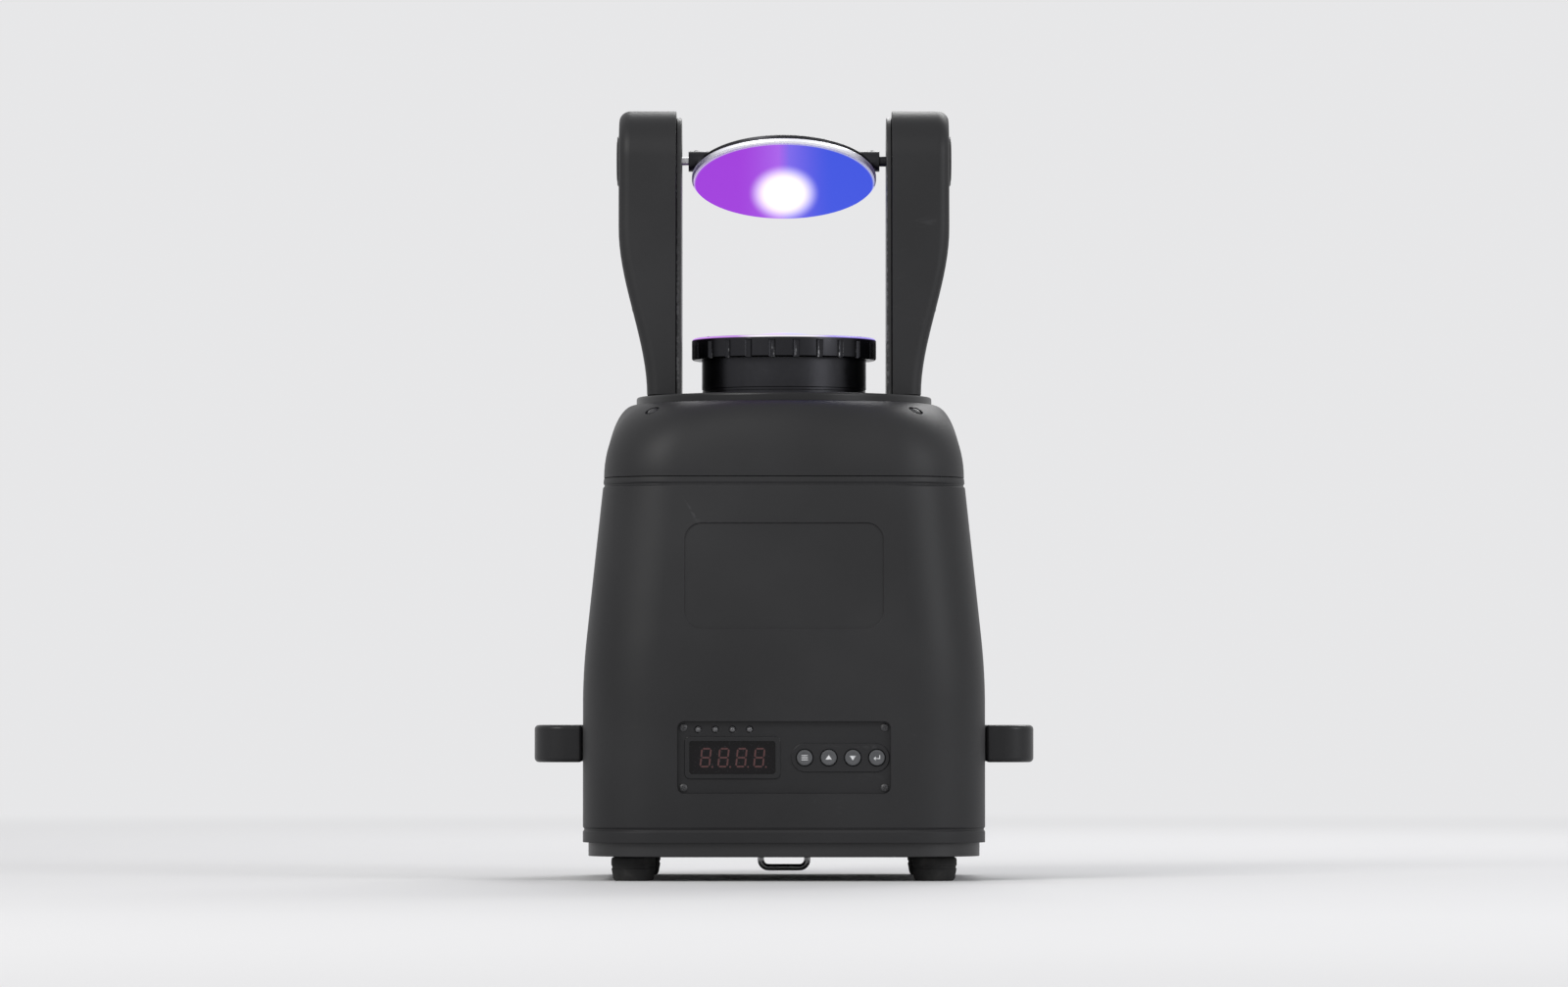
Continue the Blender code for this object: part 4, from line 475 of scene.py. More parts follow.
def powder_coat(name, colour, rough=0.42):
    """Baked coat with a fine orange peel, rubbed on its edges."""
    look = Look(name, colour)
    peel, cloud, edge = look.noise(620, 2), look.noise(14, 2), look.worn(0.54, 0.66)
    coat = look.mix(cloud.above(0.3, 0.7) * 0.6, colour, toned(colour, 1.5))
    return look.made(
        Base_Color=look.mix(edge * 0.5, coat, (0.20, 0.20, 0.21)),
        Roughness=rough + (cloud - 0.5) * 0.12,
        Normal=look.bump(peel, 0.05),
    )


def lathe_marks(look, rings, streak, rough):
    """Fine rings round an axis."""
    return {"Roughness": rough + (streak - 0.5) * 0.16 + rings * 0.03, "Normal": look.bump(rings, 0.004, 0.6)}


def turned_metal(name, colour, rough):
    """Anodised metal from a lathe."""
    look = Look(name, colour, Metallic=1.0)
    rings, streak = (look.radius() + look.axis("Z")).wave(0.35), look.noise(260, 3)
    tone = look.mix(streak, colour, toned(colour, 1.25))
    bare = look.mix(look.worn(0.55, 0.68) * 0.6, tone, RUBBED_METAL)
    return look.made(Base_Color=bare, **lathe_marks(look, rings, streak, rough))


def brushed_metal(name, colour, rough, grain, scale, spots=0.0):
    """Rolled or drawn metal, with a grain along one axis and, on zinc, pale spangles."""
    look = Look(name, colour, Metallic=1.0)
    lines, cloud = look.noise(scale, 4, grain), look.noise(22, 3)
    tone = look.mix(lines.above(0.3, 0.7), toned(colour, 0.86), colour)
    if spots:
        spangle = look.node("SeparateColor", {}, {0: look.cells(190.0, output="Color")})
        tone = look.mix(spangle * spots, tone, toned(colour, 1.25))
    return look.made(
        Base_Color=tone,
        Roughness=rough + (lines - 0.5) * 0.16 + (cloud - 0.5) * 0.10,
        Normal=look.bump(lines, 0.006, 0.5),
    )


def soft_rubber(name, colour):
    """Rubber with a matt grain and a little dust."""
    look = Look(name, colour, Specular_IOR_Level=0.3)
    cloud, grain = look.noise(60, 4), look.noise(1300, 2)
    return look.made(
        Base_Color=look.mix(cloud.above(0.45, 0.75) * 0.7, colour, (0.060, 0.058, 0.055)),
        Roughness=0.82 + (grain - 0.5) * 0.15,
        Normal=look.bump(grain, 0.05),
    )


def smoked_pane(name, colour, low, high, **constants):
    """Dark clear plastic with the faintest dust on it."""
    look = Look(name, colour, **constants)
    dust = look.noise(900, 2).above(0.62, 0.75)
    tone = look.mix(dust * 0.25, colour, (0.10, 0.10, 0.11))
    return look.made(Base_Color=tone, Roughness=low + dust * (high - low))


def open_foam(name):
    """Filter foam with open pores, the pores painted darker than the strands between them as painted shade.
    """
    look = Look(name, (0.02, 0.02, 0.02), Roughness=0.9, Specular_IOR_Level=0.1)
    cells = look.cells(900.0)
    # Painted shade: the pores darker than the strands.
    tone = look.mix(cells.above(0.2, 0.6), (0.002, 0.002, 0.002), (0.030, 0.030, 0.031))
    return look.made(Base_Color=tone, Normal=look.bump(cells, 0.5))


def lit(name, colour, across, **constants):
    """A surface that the beam lights, with the beam's light painted on it as emission, and the beam's tint:
    magenta on one side, blue on the other.
    """
    look = Look(name, colour, Emission_Strength=1.0, **constants)
    # The beam's colours, painted as light on the lens, mirror and rim.
    stops = [
        (0.0, (0.40, 0.0, 0.85)), (0.42, (0.46, 0.10, 1.0)),
        (0.58, (0.20, 0.12, 1.0)), (1.0, (0.0, 0.06, 0.90)),
    ]
    return look, look.node("ValToRGB", {"stops": stops}, {"Fac": look.axis("X").above(-across, across)})


def lit_lens(name):
    """Coated front glass with the two colours of the beam behind it, painted on it as a glow: hottest and
    palest in the middle, darker towards the rim, with faint rings.
    """
    look, tint = lit(
        name, (0.02, 0.02, 0.05), 26, Roughness=0.03, IOR=1.52, Coat_Weight=1.0, Coat_Roughness=0.02
    )
    reach = look.radius()
    # Painted light: a hot pale middle and a darker rim with faint rings, in the emission colour.
    hot, rim = reach.below(3.0, 21.0), reach.above(38.0, 43.0)
    rings = (reach * 1.7).maths("SINE") * 0.05
    glow = look.mix(hot * 0.85, tint, (0.80, 0.72, 1.0))
    return look.made(Emission_Color=look.mix(rim + rings, glow, (0.015, 0.005, 0.05)))


def lit_mirror(name):
    """Front-silvered glass, with the beam's patch painted on it in its base and emission colour, and a
    painted hot spot ahead of the middle.
    """
    look, tint = lit(name, (0.90, 0.91, 0.93), 30, Metallic=1.0, Roughness=0.02)
    x, y, reach, haze = look.axis("X"), look.axis("Y") - 12.0, look.radius(), look.noise(70, 4)
    hot = (x * x + y * y * 0.30).maths("SQRT").below(8.0, 22.0)
    patch, ground = reach.below(52.5, 54.8), reach.above(53.9, 54.3)
    # Painted light: the beam's glow and hot spot in the emission colour.
    glow = look.mix(hot, look.mix(0.55, BLACK, tint), (1.0, 0.96, 1.0))
    silver = look.mix(haze.above(0.45, 0.75) * 0.4, (0.93, 0.94, 0.95), (0.84, 0.85, 0.88))
    # Painted light: the beam's colours and hot spot painted into the base colour over the patch.
    painted_beam_colour = look.mix(hot, look.mix(0.30, (0.03, 0.02, 0.06), tint), (0.4, 0.3, 0.5))
    return look.made(
        Base_Color=look.mix(patch, silver, painted_beam_colour),
        Roughness=0.02 + haze.above(0.5, 0.8) * 0.05 + ground * 0.4,
        Emission_Color=look.mix(patch, (0.02, 0.01, 0.06), glow),
    )


def lit_rim(name):
    """Anodised ring whose upper edges catch the light of the lens, painted on those edges as a glow in its
    emission colour.
    """
    look, tint = lit(name, (0.024, 0.024, 0.027), 40, Metallic=1.0)
    x, height, radius, streak = look.axis("X"), look.axis("Z"), look.radius(), look.noise(260, 3)
    # Painted light: the lens's glow painted on the outer and inner upper edges.
    outer = height.above(319.7, 320.7) * radius.above(53.3, 54.1)
    inner = radius.below(46.6, 47.6) * height.above(317.6, 319.4) * 0.7
    side = look.mix(0.45, tint, (0.9, 0.65, 0.95))
    glow = look.mix((x * x).below(150.0, 900.0), side, (1.0, 0.95, 1.0))
    return look.made(
        Base_Color=look.mix(look.worn(0.55, 0.68) * 0.6, (0.028, 0.028, 0.031), RUBBED_METAL),
        Emission_Color=look.mix(outer.maths("MAXIMUM", inner), BLACK, glow),
        **lathe_marks(look, radius.wave(0.4), streak, 0.30),
    )


PLASTIC = moulded_plastic("black_moulded_plastic", (0.011, 0.011, 0.012), 0.50, 0.035)
SMOOTH_PLASTIC = moulded_plastic("black_satin_plastic", (0.009, 0.009, 0.010), 0.36, 0.012)
KEY = moulded_plastic("grey_silicone_keys", (0.070, 0.072, 0.076), 0.58, 0.02)
COATED = powder_coat("black_powder_coat", (0.012, 0.012, 0.013))
SCREW_BLACK = powder_coat("black_oxide_screws", (0.030, 0.030, 0.032), 0.36)
INK = powder_coat("white_ink", (0.62, 0.63, 0.64), 0.55)
RUBBER = soft_rubber("black_rubber", (0.018, 0.018, 0.018))
ANODISED = turned_metal("black_anodised_aluminium", (0.030, 0.030, 0.033), 0.34)
STEEL = brushed_metal("bright_steel", (0.60, 0.60, 0.61), 0.28, (1, 1, 8), 90)
ZINC = brushed_metal("zinc_plated_sheet", (0.52, 0.53, 0.55), 0.36, (8, 1, 1), 60, spots=0.25)
ALUMINIUM = brushed_metal("cast_aluminium", (0.66, 0.67, 0.69), 0.40, (1, 1, 6), 70)
NICKEL = brushed_metal("nickel_plate", (0.55, 0.53, 0.50), 0.24, (1, 6, 1), 120)
BRASS = brushed_metal("brass", (0.62, 0.44, 0.17), 0.30, (1, 1, 6), 110)
CONNECTOR_METAL = brushed_metal("satin_nickel_shells", (0.33, 0.33, 0.34), 0.34, (1, 1, 5), 90)
DARK_STEEL = brushed_metal("blackened_steel", (0.060, 0.060, 0.065), 0.38, (6, 1, 1), 80)
SMOKED = smoked_pane("smoked_window", (0.003, 0.002, 0.003), 0.04, 0.25, Specular_IOR_Level=0.22)
SEGMENT = smoked_pane("unlit_segments", (0.075, 0.022, 0.022), 0.25, 0.40)
LAMP_DOME = smoked_pane("clear_lamp_domes", (0.20, 0.20, 0.21), 0.12, 0.30, Transmission_Weight=0.5)
FOAM = open_foam("black_filter_foam")
LIT_LENS = lit_lens("coated_lens_glass")
MIRROR = lit_mirror("silvered_mirror")
LIT_RIM = lit_rim("lit_anodised_rim")


# Fasteners


def screw(radius=3.0, rise=1.6):
    """A pan head with a cross recess, round +Z, with its seat at z = 0."""
    head = turned(
        [(0, -2.2), (radius * 0.52, -2.2), (radius * 0.52, -0.2), (radius, 0), (radius, rise * 0.35)]
        + [(radius * cos(a), rise * 0.35 + rise * 0.65 * sin(a)) for a in (0.35, 0.7, 1.05, 1.3)]
        + [(0, rise)],
        24,
    )
    half, wide = radius * 0.52, radius * 0.085
    for a, b in ((half, wide), (wide, half)):
        cut(head, block((-a, -b, rise - 1.1), (a, b, rise + 1)))
    return head


def screws(name, places, body="tower", radius=3.0, rise=1.6, look=SCREW_BLACK):
    """Screws at (point, way) places, way being the axis that a head faces."""
    first = screw(radius, rise)
    heads = []
    for k, (point, way) in enumerate(places):
        head = copy(first, turn=0.4 + 1.1 * k)
        heads.append(moved(along(head, way), offset=point))
    bpy.data.objects.remove(first)
    finished(join(*heads), name, body, look, "steel")


# Tower


def square_reach(angle, half):
    """How far a square with round corners reaches in a direction."""
    turn = angle % (pi / 2)
    fold = min(turn, pi / 2 - turn)
    flat = half - CORNER
    if half * sin(fold) / cos(fold) <= flat:
        return half / cos(fold)
    diagonal = flat * (cos(fold) + sin(fold))
    return diagonal + sqrt(diagonal**2 - 2 * flat * flat + CORNER * CORNER)


def tower_ring(half, z):
    angles = [2 * pi * (k + 0.5) / RING_POINTS for k in range(RING_POINTS)]
    return [(square_reach(a, half) * cos(a), square_reach(a, half) * sin(a), z) for a in angles]


def tower_half(z):
    """Half the tower's width: straight at the base, drawn in over the waist, then evenly to the shoulder."""
    slope = (BODY_HALF - TOWER_HALF) / (SHELL_TOP - WAIST)
    if z <= WAIST - WAIST_BLEND:
        return BODY_HALF
    if z >= WAIST + WAIST_BLEND:
        return BODY_HALF - slope * (z - WAIST)
    return BODY_HALF - slope * (z - WAIST + WAIST_BLEND) ** 2 / (4 * WAIST_BLEND)


def flank_slots(side):
    """What cuts the seven slots into both flanks, on the front or the rear of the seam."""
    tools = []
    for way in SIDES:
        for k in range(7):
            z = 146.0 + 9.5 * k
            (x0, x1), (y0, y1) = span(way, 98.0, 124.0), span(side, 14.0, 58.0)
            slot = block((x0, y0, z - 1.75), (x1, y1, z + 1.75))
            tools.append(round_edges(slot, lambda m, d: abs(d.x) > 0.9, 1.7, 6))
    return join(*tools)


def recess(side):
    """A shallow field above the opening, on the rear with closed louvres in it."""
    lean = atan2(BODY_HALF - TOWER_HALF, SHELL_TOP - WAIST)
    face = tower_half(RECESS_Z)

    def sunk(width, height, radius, steps, rise, depth):
        centre, (near, far) = (0, RECESS_Z + rise), span(side, face - depth, face + 6)
        tool = tablet(width, height, radius, steps, centre, near, far)
        return moved(tool, turn=side * lean, axis="X", about=(0, side * face, RECESS_Z))

    field = sunk(116, 62, 10, 8, 0, 0.9)
    if side > 0:
        weld(field, join(*[sunk(94, 2.6, 1.25, 5, 7.0 * k, 2.1) for k in range(-3, 4)]))
    return field


def shell(name, side, width, height, middle):
    """Half the housing, with its opening, slots, field above the opening and screw wells."""
    heights = [SHELL_LOW, 60, 100, 106, 111, 116, 121, 126, 131, 136, 142, 190, SHELL_TOP]
    levels = [(z, 0.0) for z in heights]
    for groove in (30.0, 231.6):
        levels += [(groove + 0.4 * k, 0.40 * (1 + cos(pi * k / 4))) for k in range(-4, 5)]
    skin = surface([tower_ring(tower_half(z) - deep, z) for z, deep in sorted(levels)])
    sliced(skin, (0, side * 0.15, 0), (0, -side, 0))
    flattened(skin)
    apply(skin, "SOLIDIFY", thickness=WALL * MM, offset=-1, use_even_offset=True)
    near, far = span(side, BODY_HALF - 12, BODY_HALF + 4)
    opening = tablet(width, height, 4.0, 6, (0, middle), near, far)
    cut(skin, opening, flank_slots(side), recess(side))
    wells = []
    for way in SIDES:
        for z in SEAM_HEIGHTS:
            low, high = span(way, tower_half(z) - WELL_DEEP, tower_half(z) + 4)
            wells.append(rod(4.6, low, high, (side * SEAM_Y, z), "X", 32))
    cut(skin, join(*wells))
    soften(skin, 0.35, 3, 40)
    finished(skin, name + "_moulding", "tower", PLASTIC, "housing", name)


def set_in(obj, turn, tilt, point):
    """Leans a piece made round +Z outwards by a tilt, turns it round the tower and puts it at a point."""
    obj.data.transform(
        Matrix.Translation(Vector(point) * MM) @ Matrix.Rotation(turn, 4, "Z") @ Matrix.Rotation(tilt, 4, "Y")
    )
    return obj


def shoulder():
    """The rounded top between the shells and the turntable, with a screw sunk in each corner."""
    rows, steps = [], 18
    for k in range(steps + 1):
        share = k / steps * pi / 2
        row = []
        for x, y, _ in tower_ring(TOWER_HALF, 0):
            reach = 1 + (OPENING / hypot(x, y) - 1) * (1 - cos(share))
            row.append((x * reach, y * reach, SHOULDER_LOW + SHOULDER_RISE * sin(share)))
        rows.append(row)
    lip = [(OPENING * x / hypot(x, y), OPENING * y / hypot(x, y), z - 3.2) for x, y, z in rows[-1]]
    skin = surface(rows + [lip])
    apply(skin, "SOLIDIFY", thickness=WALL * 0.98 * MM, offset=-1, use_even_offset=False)

    share, corner = 1.068, square_reach(pi / 4, TOWER_HALF)
    lean = atan2(SHOULDER_RISE * cos(share), (corner - OPENING) * sin(share))
    radius = corner - (corner - OPENING) * (1 - cos(share)) - 1.3 * sin(lean)
    height = SHOULDER_LOW + SHOULDER_RISE * sin(share) - 1.3 * cos(lean)
    wells, heads = [], []
    for k in range(4):
        turn = pi / 4 + k * pi / 2
        point = (radius * cos(turn), radius * sin(turn), height)
        wells.append(set_in(rod(4.4, 0, 9, sides=32), turn, lean, point))
        heads.append(set_in(screw(), turn, lean, point))
    cut(skin, *wells)
    soften(skin, 0.3, 2, 50)
    finished(join(*heads), "shoulder_screws", "tower", SCREW_BLACK, "steel")
    finished(skin, "shoulder_moulding", "tower", PLASTIC, "housing", "shoulder_cover")


def shell_screws():
    """Screws in the flanks, on both sides of the seam between the shells."""
    places = [
        ((way * (tower_half(z) - WELL_DEEP), y, z), outward(way))
        for way in SIDES for y in (-SEAM_Y, SEAM_Y) for z in SEAM_HEIGHTS
    ]
    screws("shell_screws", places)


def foam_pad(way, faces, thick, near, far):
    """A pad whose outer face runs through (x, z) points, on the left or the right."""
    outline = [(way * x, z) for x, z in faces] + [(way * (x - thick), z) for x, z in reversed(faces)]
    return soften(slab(outline, near, far, "Y"), 0.5, 2)


def vent_filters():
    """Thin foam behind the slots in each flank."""
    faces = [(tower_half(z) - WALL - FILTER_GAP, z) for z in (140.0, 209.0)]
    pads = [foam_pad(way, faces, 2.6, *span(side, 10.5, 61.5)) for way, side in QUADRANTS]
    finished(join(*pads), "vent_filters", "tower", FOAM, "rubber")


def handle(name, side):
    """A bow with a gap for the fingers and grooves for grip, made on the right."""
    bow = block((118.3, -62, 69), (147.3, 62, 91))
    round_edges(bow, lambda m, d: m.x > 140 and abs(d.z) > 0.9, 18, 14)
    inside = block((110, -49, 60), (136.3, 49, 100))
    round_edges(inside, lambda m, d: m.x > 130 and abs(d.z) > 0.9, 10.8, 12)
    cut(bow, inside)
    soften(bow, 2.6, 5, 60)
    grooves = [block((146.2, y - 1.1, 60), (150, y + 1.1, 100)) for y in range(-30, 31, 6)]
    cut(bow, join(*grooves))
    soften(bow, 0.3, 2, 50)
    if side < 0:
        flipped(bow)
    finished(bow, name + "_grip", "tower", SMOOTH_PLASTIC, "housing", name)


def feet():
    """Four rubber feet, each with the head of its bolt inside."""
    foot = turned(
        [(0, 14), (11.4, 14), (12.6, 13.4), (13, 12.2), (13, 9.0), (12.5, 8.6), (12.5, 7.4), (12.9, 7.0)]
        + [(11.9, 1.6), (11.2, 0.4), (10.4, 0), (7.2, 0), (6.2, 0.5), (5.6, 3.2), (0, 3.2)],
        64,
    )
    bolt = along(screw(3.6, 1.8), "-Z")
    for y_name, y in (("front", -FOOT_AT), ("rear", FOOT_AT)):
        for x_name, x in (("left", -FOOT_AT), ("right", FOOT_AT)):
            label = f"foot_{y_name}_{x_name}"
            finished(copy(foot, offset=(x, y, 0)), label + "_pad", "tower", RUBBER, "rubber", label)
            finished(copy(bolt, offset=(x, y, 3.1)), label + "_bolt", "tower", STEEL, "steel")
    bpy.data.objects.remove(foot)
    bpy.data.objects.remove(bolt)


def tray():
    """The base with its raised pad, the intake slots in it and the bracket holes."""
    body = slab(rounded(2 * TRAY_HALF, 2 * TRAY_HALF, 40.7, 16), TRAY_LOW, TRAY_LOW + 20)
    inner = 2 * (TRAY_HALF - TRAY_FLOOR)
    cut(body, slab(rounded(inner, inner, 38.2, 16), TRAY_LOW + TRAY_FLOOR, 60))
    weld(body, slab(rounded(176, 84, 7, 8), PAD_LOW, TRAY_LOW + 1.2))
    slots = []
    for k in range(7):
        y = (k - 3) * 10.5
        reach = sqrt(42.5**2 - y * y) - 3.6
        slot = block((-reach, y - 1.8, 5), (reach, y + 1.8, 22))
        slots.append(round_edges(slot, lambda m, d: abs(d.z) > 0.9, 1.75, 6))
    cut(body, join(*slots))
    cut(body, join(*[rod(7, 5, 22, at) for at in BRACKET_HOLES]))
    soften(body, 0.4, 3)
    finished(body, "base_pan", "tower", COATED, "painted_metal", "base_tray")


def receptacles():
    """Steel quarter-turn plates behind the four bracket holes."""
    plate = slab(rounded(30, 22, 4), TRAY_LOW + TRAY_FLOOR + 0.05, TRAY_LOW + TRAY_FLOOR + 1.3)
    cut(plate, rod(5.3, 10, 24))
    collar = turned(
        [(5.1, 16.9), (6.4, 16.9), (6.4, 19.1), (6.1, 19.4), (5.4, 19.4), (5.1, 19.1), (5.1, 16.9)], 48
    )
    soften(plate, 0.2, 2, 60)
    rivet = [(0, 17.0), (2.1, 17.0), (2.1, 18.2), (1.5, 18.9), (0, 19.1)]
    rivets = [turned(rivet, 20, (x, 0)) for x in (-11.5, 11.5)]
    plates = spread(join(plate, collar, *rivets), [{"offset": (x, y, 0)} for x, y in BRACKET_HOLES])
    finished(plates, "bracket_receptacles", "tower", STEEL, "steel")


def safety_loop():
    """A round steel bow under the tray."""
    root = TRAY_LOW + 1.4
    path = [(-LOOP_HALF, root), (-LOOP_HALF, LOOP_BEND_Z)]
    path += arc(LOOP_BEND, pi, 1.5 * pi, 6, (-LOOP_HALF + LOOP_BEND, LOOP_BEND_Z))[1:]
    path += [(-x, z) for x, z in reversed(path)]
    across = Vector((0, 1, 0))
    rows = []
    for k, (x, z) in enumerate(path):
        (x0, z0), (x1, z1) = path[max(0, k - 1)], path[min(len(path) - 1, k + 1)]
        middle, side = Vector((x, LOOP_Y, z)), Vector((x1 - x0, 0, z1 - z0)).normalized().cross(across)
        angles = [2 * pi * j / 20 for j in range(20)]
        rows.append([middle + side * LOOP_WIRE * cos(a) + across * LOOP_WIRE * sin(a) for a in angles])
    bow = surface(rows)
    enter(bow).fill_holes(sides=0)
    leave(bow)
    ring = [(2.1, root - 1.6), (3.6, root - 1.6), (3.6, root - 0.2), (2.1, root - 0.2), (2.1, root - 1.6)]
    collars = [turned(ring, 32, (x, LOOP_Y)) for x in (-LOOP_HALF, LOOP_HALF)]
    finished(join(bow, *collars), "safety_bow", "tower", STEEL, "steel")


shell("front_shell", -1, 124.0, 42.0, PANEL_Z)
shell("rear_shell", 1, 140.0, 58.0, PLATE_Z)
shoulder()
shell_screws()
vent_filters()
handle("handle_left", -1)
handle("handle_right", 1)
feet()
tray()
receptacles()
safety_loop()


# Head


def turntable():
    """The disc with four curved slots, and the ring of teeth that hangs below it."""
    disc = turned(
        [(50, 281.3), (50, 285.7), (50.6, 286.3), (57.4, 286.3), (57.8, 285.8), (59.2, 285.8), (59.6, 286.3)]
        + [(82.2, 286.3), (82.7, 285.5), (84.1, 285.5), (84.6, 286.0), (86.8, 286.0)]
        + [(87.5, 285.75), (87.9, 285.1), (88, 284.4), (88, 276.9), (87.7, 276.6), (85.3, 276.6), (85, 276.9)]
        + [(85, 280.6), (84.3, 281.3), (69, 281.3), (69, 283.8), (59.2, 283.8), (59.2, 281.3), (50, 281.3)],
        192,
    )
    slots = []
    for turn in (pi / 2, -pi / 2):
        for way in SIDES:
            outline = arc(79.5, way * 0.10, way * 0.55, 18) + arc(74.5, way * 0.55, way * 0.10, 18)
            slots.append(moved(slab(outline, 285.0, 290), turn=turn))
    cut(disc, *slots)
    finished(disc, "turntable_disc", "head", SMOOTH_PLASTIC, "housing", "turntable")

    half = radians(360 / GEAR_TEETH) / 4
    flank = [(64.0, half * 1.42), (67.5, half * 0.93), (69.8, half * 0.45)]
    outline = []
    for k in range(GEAR_TEETH):
        middle = radians(55) + pi / GEAR_TEETH + 2 * pi * k / GEAR_TEETH
        outline += [(r * cos(middle - a), r * sin(middle - a)) for r, a in flank]
        outline += [(r * cos(middle + a), r * sin(middle + a)) for r, a in reversed(flank)]
    gear = slab(outline, 263.6, 282.0)
    cut(gear, rod(59.2, 260, 290, sides=96))
    finished(gear, "turntable_gear", "head", SMOOTH_PLASTIC, "housing")


def barrel():
    """A tube with fine grooves inside against stray light."""
    tube = turned(
        [(44, 259.3), (57.6, 259.3), (58, 259.7), (58, 261.9), (57.6, 262.3), (49.6, 262.3), (49, 262.9)]
        + [(49, 289.0), (48.6, 289.4), (48.6, 290.6), (49, 291.0), (49, 316.0), (48.7, 316.3), (46.3, 316.3)]
        + [(46.3, 311.6), (44, 311.6)]
        + [p for z in range(309, 262, -3) for p in ((44, z + 1.6), (44.5, z + 1.2), (44.5, z + 0.4), (44, z))]
        + [(44, 259.3)],
        160,
    )
    finished(tube, "barrel_tube", "tower", ANODISED, "black_aluminium", "lens_barrel")


def bezel():
    """The ring round the lens, notched on its outside, with three small screws."""
    ring = turned(
        [(49.4, 308.3), (54.2, 308.3), (55, 309.1), (55, 319.6), (54.6, 320.6), (53.6, 321.3), (47.4, 321.3)]
        + [(46.6, 321.0), (44, 318.2), (44, 316.6), (49.3, 316.6), (49.3, 308.3), (49.4, 308.3)],
        192,
    )
    notch = rod(2.6, 305, 318.6, (56.3, 0), sides=24)
    cut(ring, spread(notch, [{"turn": radians(7.5) + 2 * pi * k / 24} for k in range(24)]))
    soften(ring, 0.12, 2, 38)
    finished(ring, "bezel_ring", "tower", LIT_RIM, "black_aluminium", "lens_bezel")
    turns = [radians(t) for t in (90, 210, 330)]
    places = [((51.3 * cos(a), 51.3 * sin(a), 321.0), "+Z") for a in turns]
    screws("bezel_screws", places, radius=1.5, rise=0.7)


def lens():
    """A lens with a domed top on a straight rim."""
    sphere = (LENS_REACH**2 + LENS_RISE**2) / (2 * LENS_RISE)
    angles = [acos(1 - LENS_RISE / sphere) * k / 16 for k in range(17)]
    crown = [(sphere * sin(a), LENS_TOP - sphere * (1 - cos(a))) for a in angles]
    glass = turned(crown + [(45.6, 316.0), (46, 315.6), (46, 312.4), (45.6, 312.0), (0, 312.0)], 128)
    finished(glass, "lens_glass", "tower", LIT_LENS, "glass", "front_lens")


def arm_outline(foot_half, radius):
    """Straight flanks that run from a foot into a round top about the tilt axis."""
    rise = TILT_Z - YOKE_FOOT
    lean = atan2(-rise, foot_half) + acos(radius / hypot(foot_half, rise))
    side = [(foot_half, YOKE_FOOT)] + arc(radius, lean, pi / 2, 20, (0, TILT_Z))
    return side + [(-y, z) for y, z in reversed(side[:-1])]


def yoke_arm(name, side, bore):
    """An upright plate on a foot, with a pressed field, made on the right."""
    plate = slab(arm_outline(ARM_HALF, ARM_TOP), YOKE_X, YOKE_X + YOKE_SHEET, "X")
    foot = block((YOKE_X + 1.5, -25.5, YOKE_FOOT), (77.8, 25.5, YOKE_FOOT + 3))
    round_edges(foot, lambda m, d: m.x > 77 and abs(d.z) > 0.9, 5, 8)
    weld(plate, foot)
    cut(plate, rod(bore, 50, 70, (0, TILT_Z), "X", 64))
    cut(plate, slab(rounded(20, 46, 9.9, 10, (0, 350)), YOKE_X + YOKE_SHEET - 1.4, 70, "X"))
    soften(plate, 0.5, 3, 40)
    if side < 0:
        flipped(plate)
    finished(plate, name + "_plate", "head", COATED, "painted_metal", name)


def cover_reach(z):
    """How far a yoke cover stands out at a height: narrow at its foot, deep round the tilt axis."""
    full = TILT_Z - 1.6 * ARM_TOP
    share = min(1.0, max(0.0, (z - YOKE_FOOT) / (full - YOKE_FOOT)))
    return COVER_NARROW + (COVER_WIDE - COVER_NARROW) * share * share * (3 - 2 * share)


def cover_skin():
    """A deep moulded cover: a wall, a rounded edge and a face that stands out further up."""
    half = ARM_HALF + COVER_LAP / 2
    base = arm_outline(half, ARM_TOP + COVER_LAP)
    (y0, z0), (y1, z1) = base[:2]
    flank = [(y0 + (y1 - y0) * k / 24, z0 + (z1 - z0) * k / 24) for k in range(24)]
    outline = flank + base[1:-1] + [(-y, z) for y, z in reversed(flank)]
    bends = [(0.0, 1.0)] + [(1 - cos(a), 1 - sin(a)) for a in (0.26, 0.52, 0.79, 1.05, 1.31)] + [(1.0, 0.0)]
    rings = [(1 - inset * COVER_EDGE / half, depth * COVER_EDGE) for inset, depth in bends]
    rings += [((1 - COVER_EDGE / half) * share, 0) for share in (0.82, 0.6, 0.35, 0.12, 0)]
    rows = [[(COVER_X, y, z) for y, z in outline]]
    for shrink, depth in rings:
        row = []
        for y, z in outline:
            spine = min(z, TILT_Z)
            row.append((COVER_X + cover_reach(z) - depth, y * shrink, spine + (z - spine) * shrink))
        rows.append(row)
    skin = surface(rows, closed=False)
    apply(skin, "SOLIDIFY", thickness=COVER_WALL * MM, offset=-1, use_even_offset=True)
    return sliced(skin, (0, 0, YOKE_FOOT + 0.02), (0, 0, -1), fill=True)


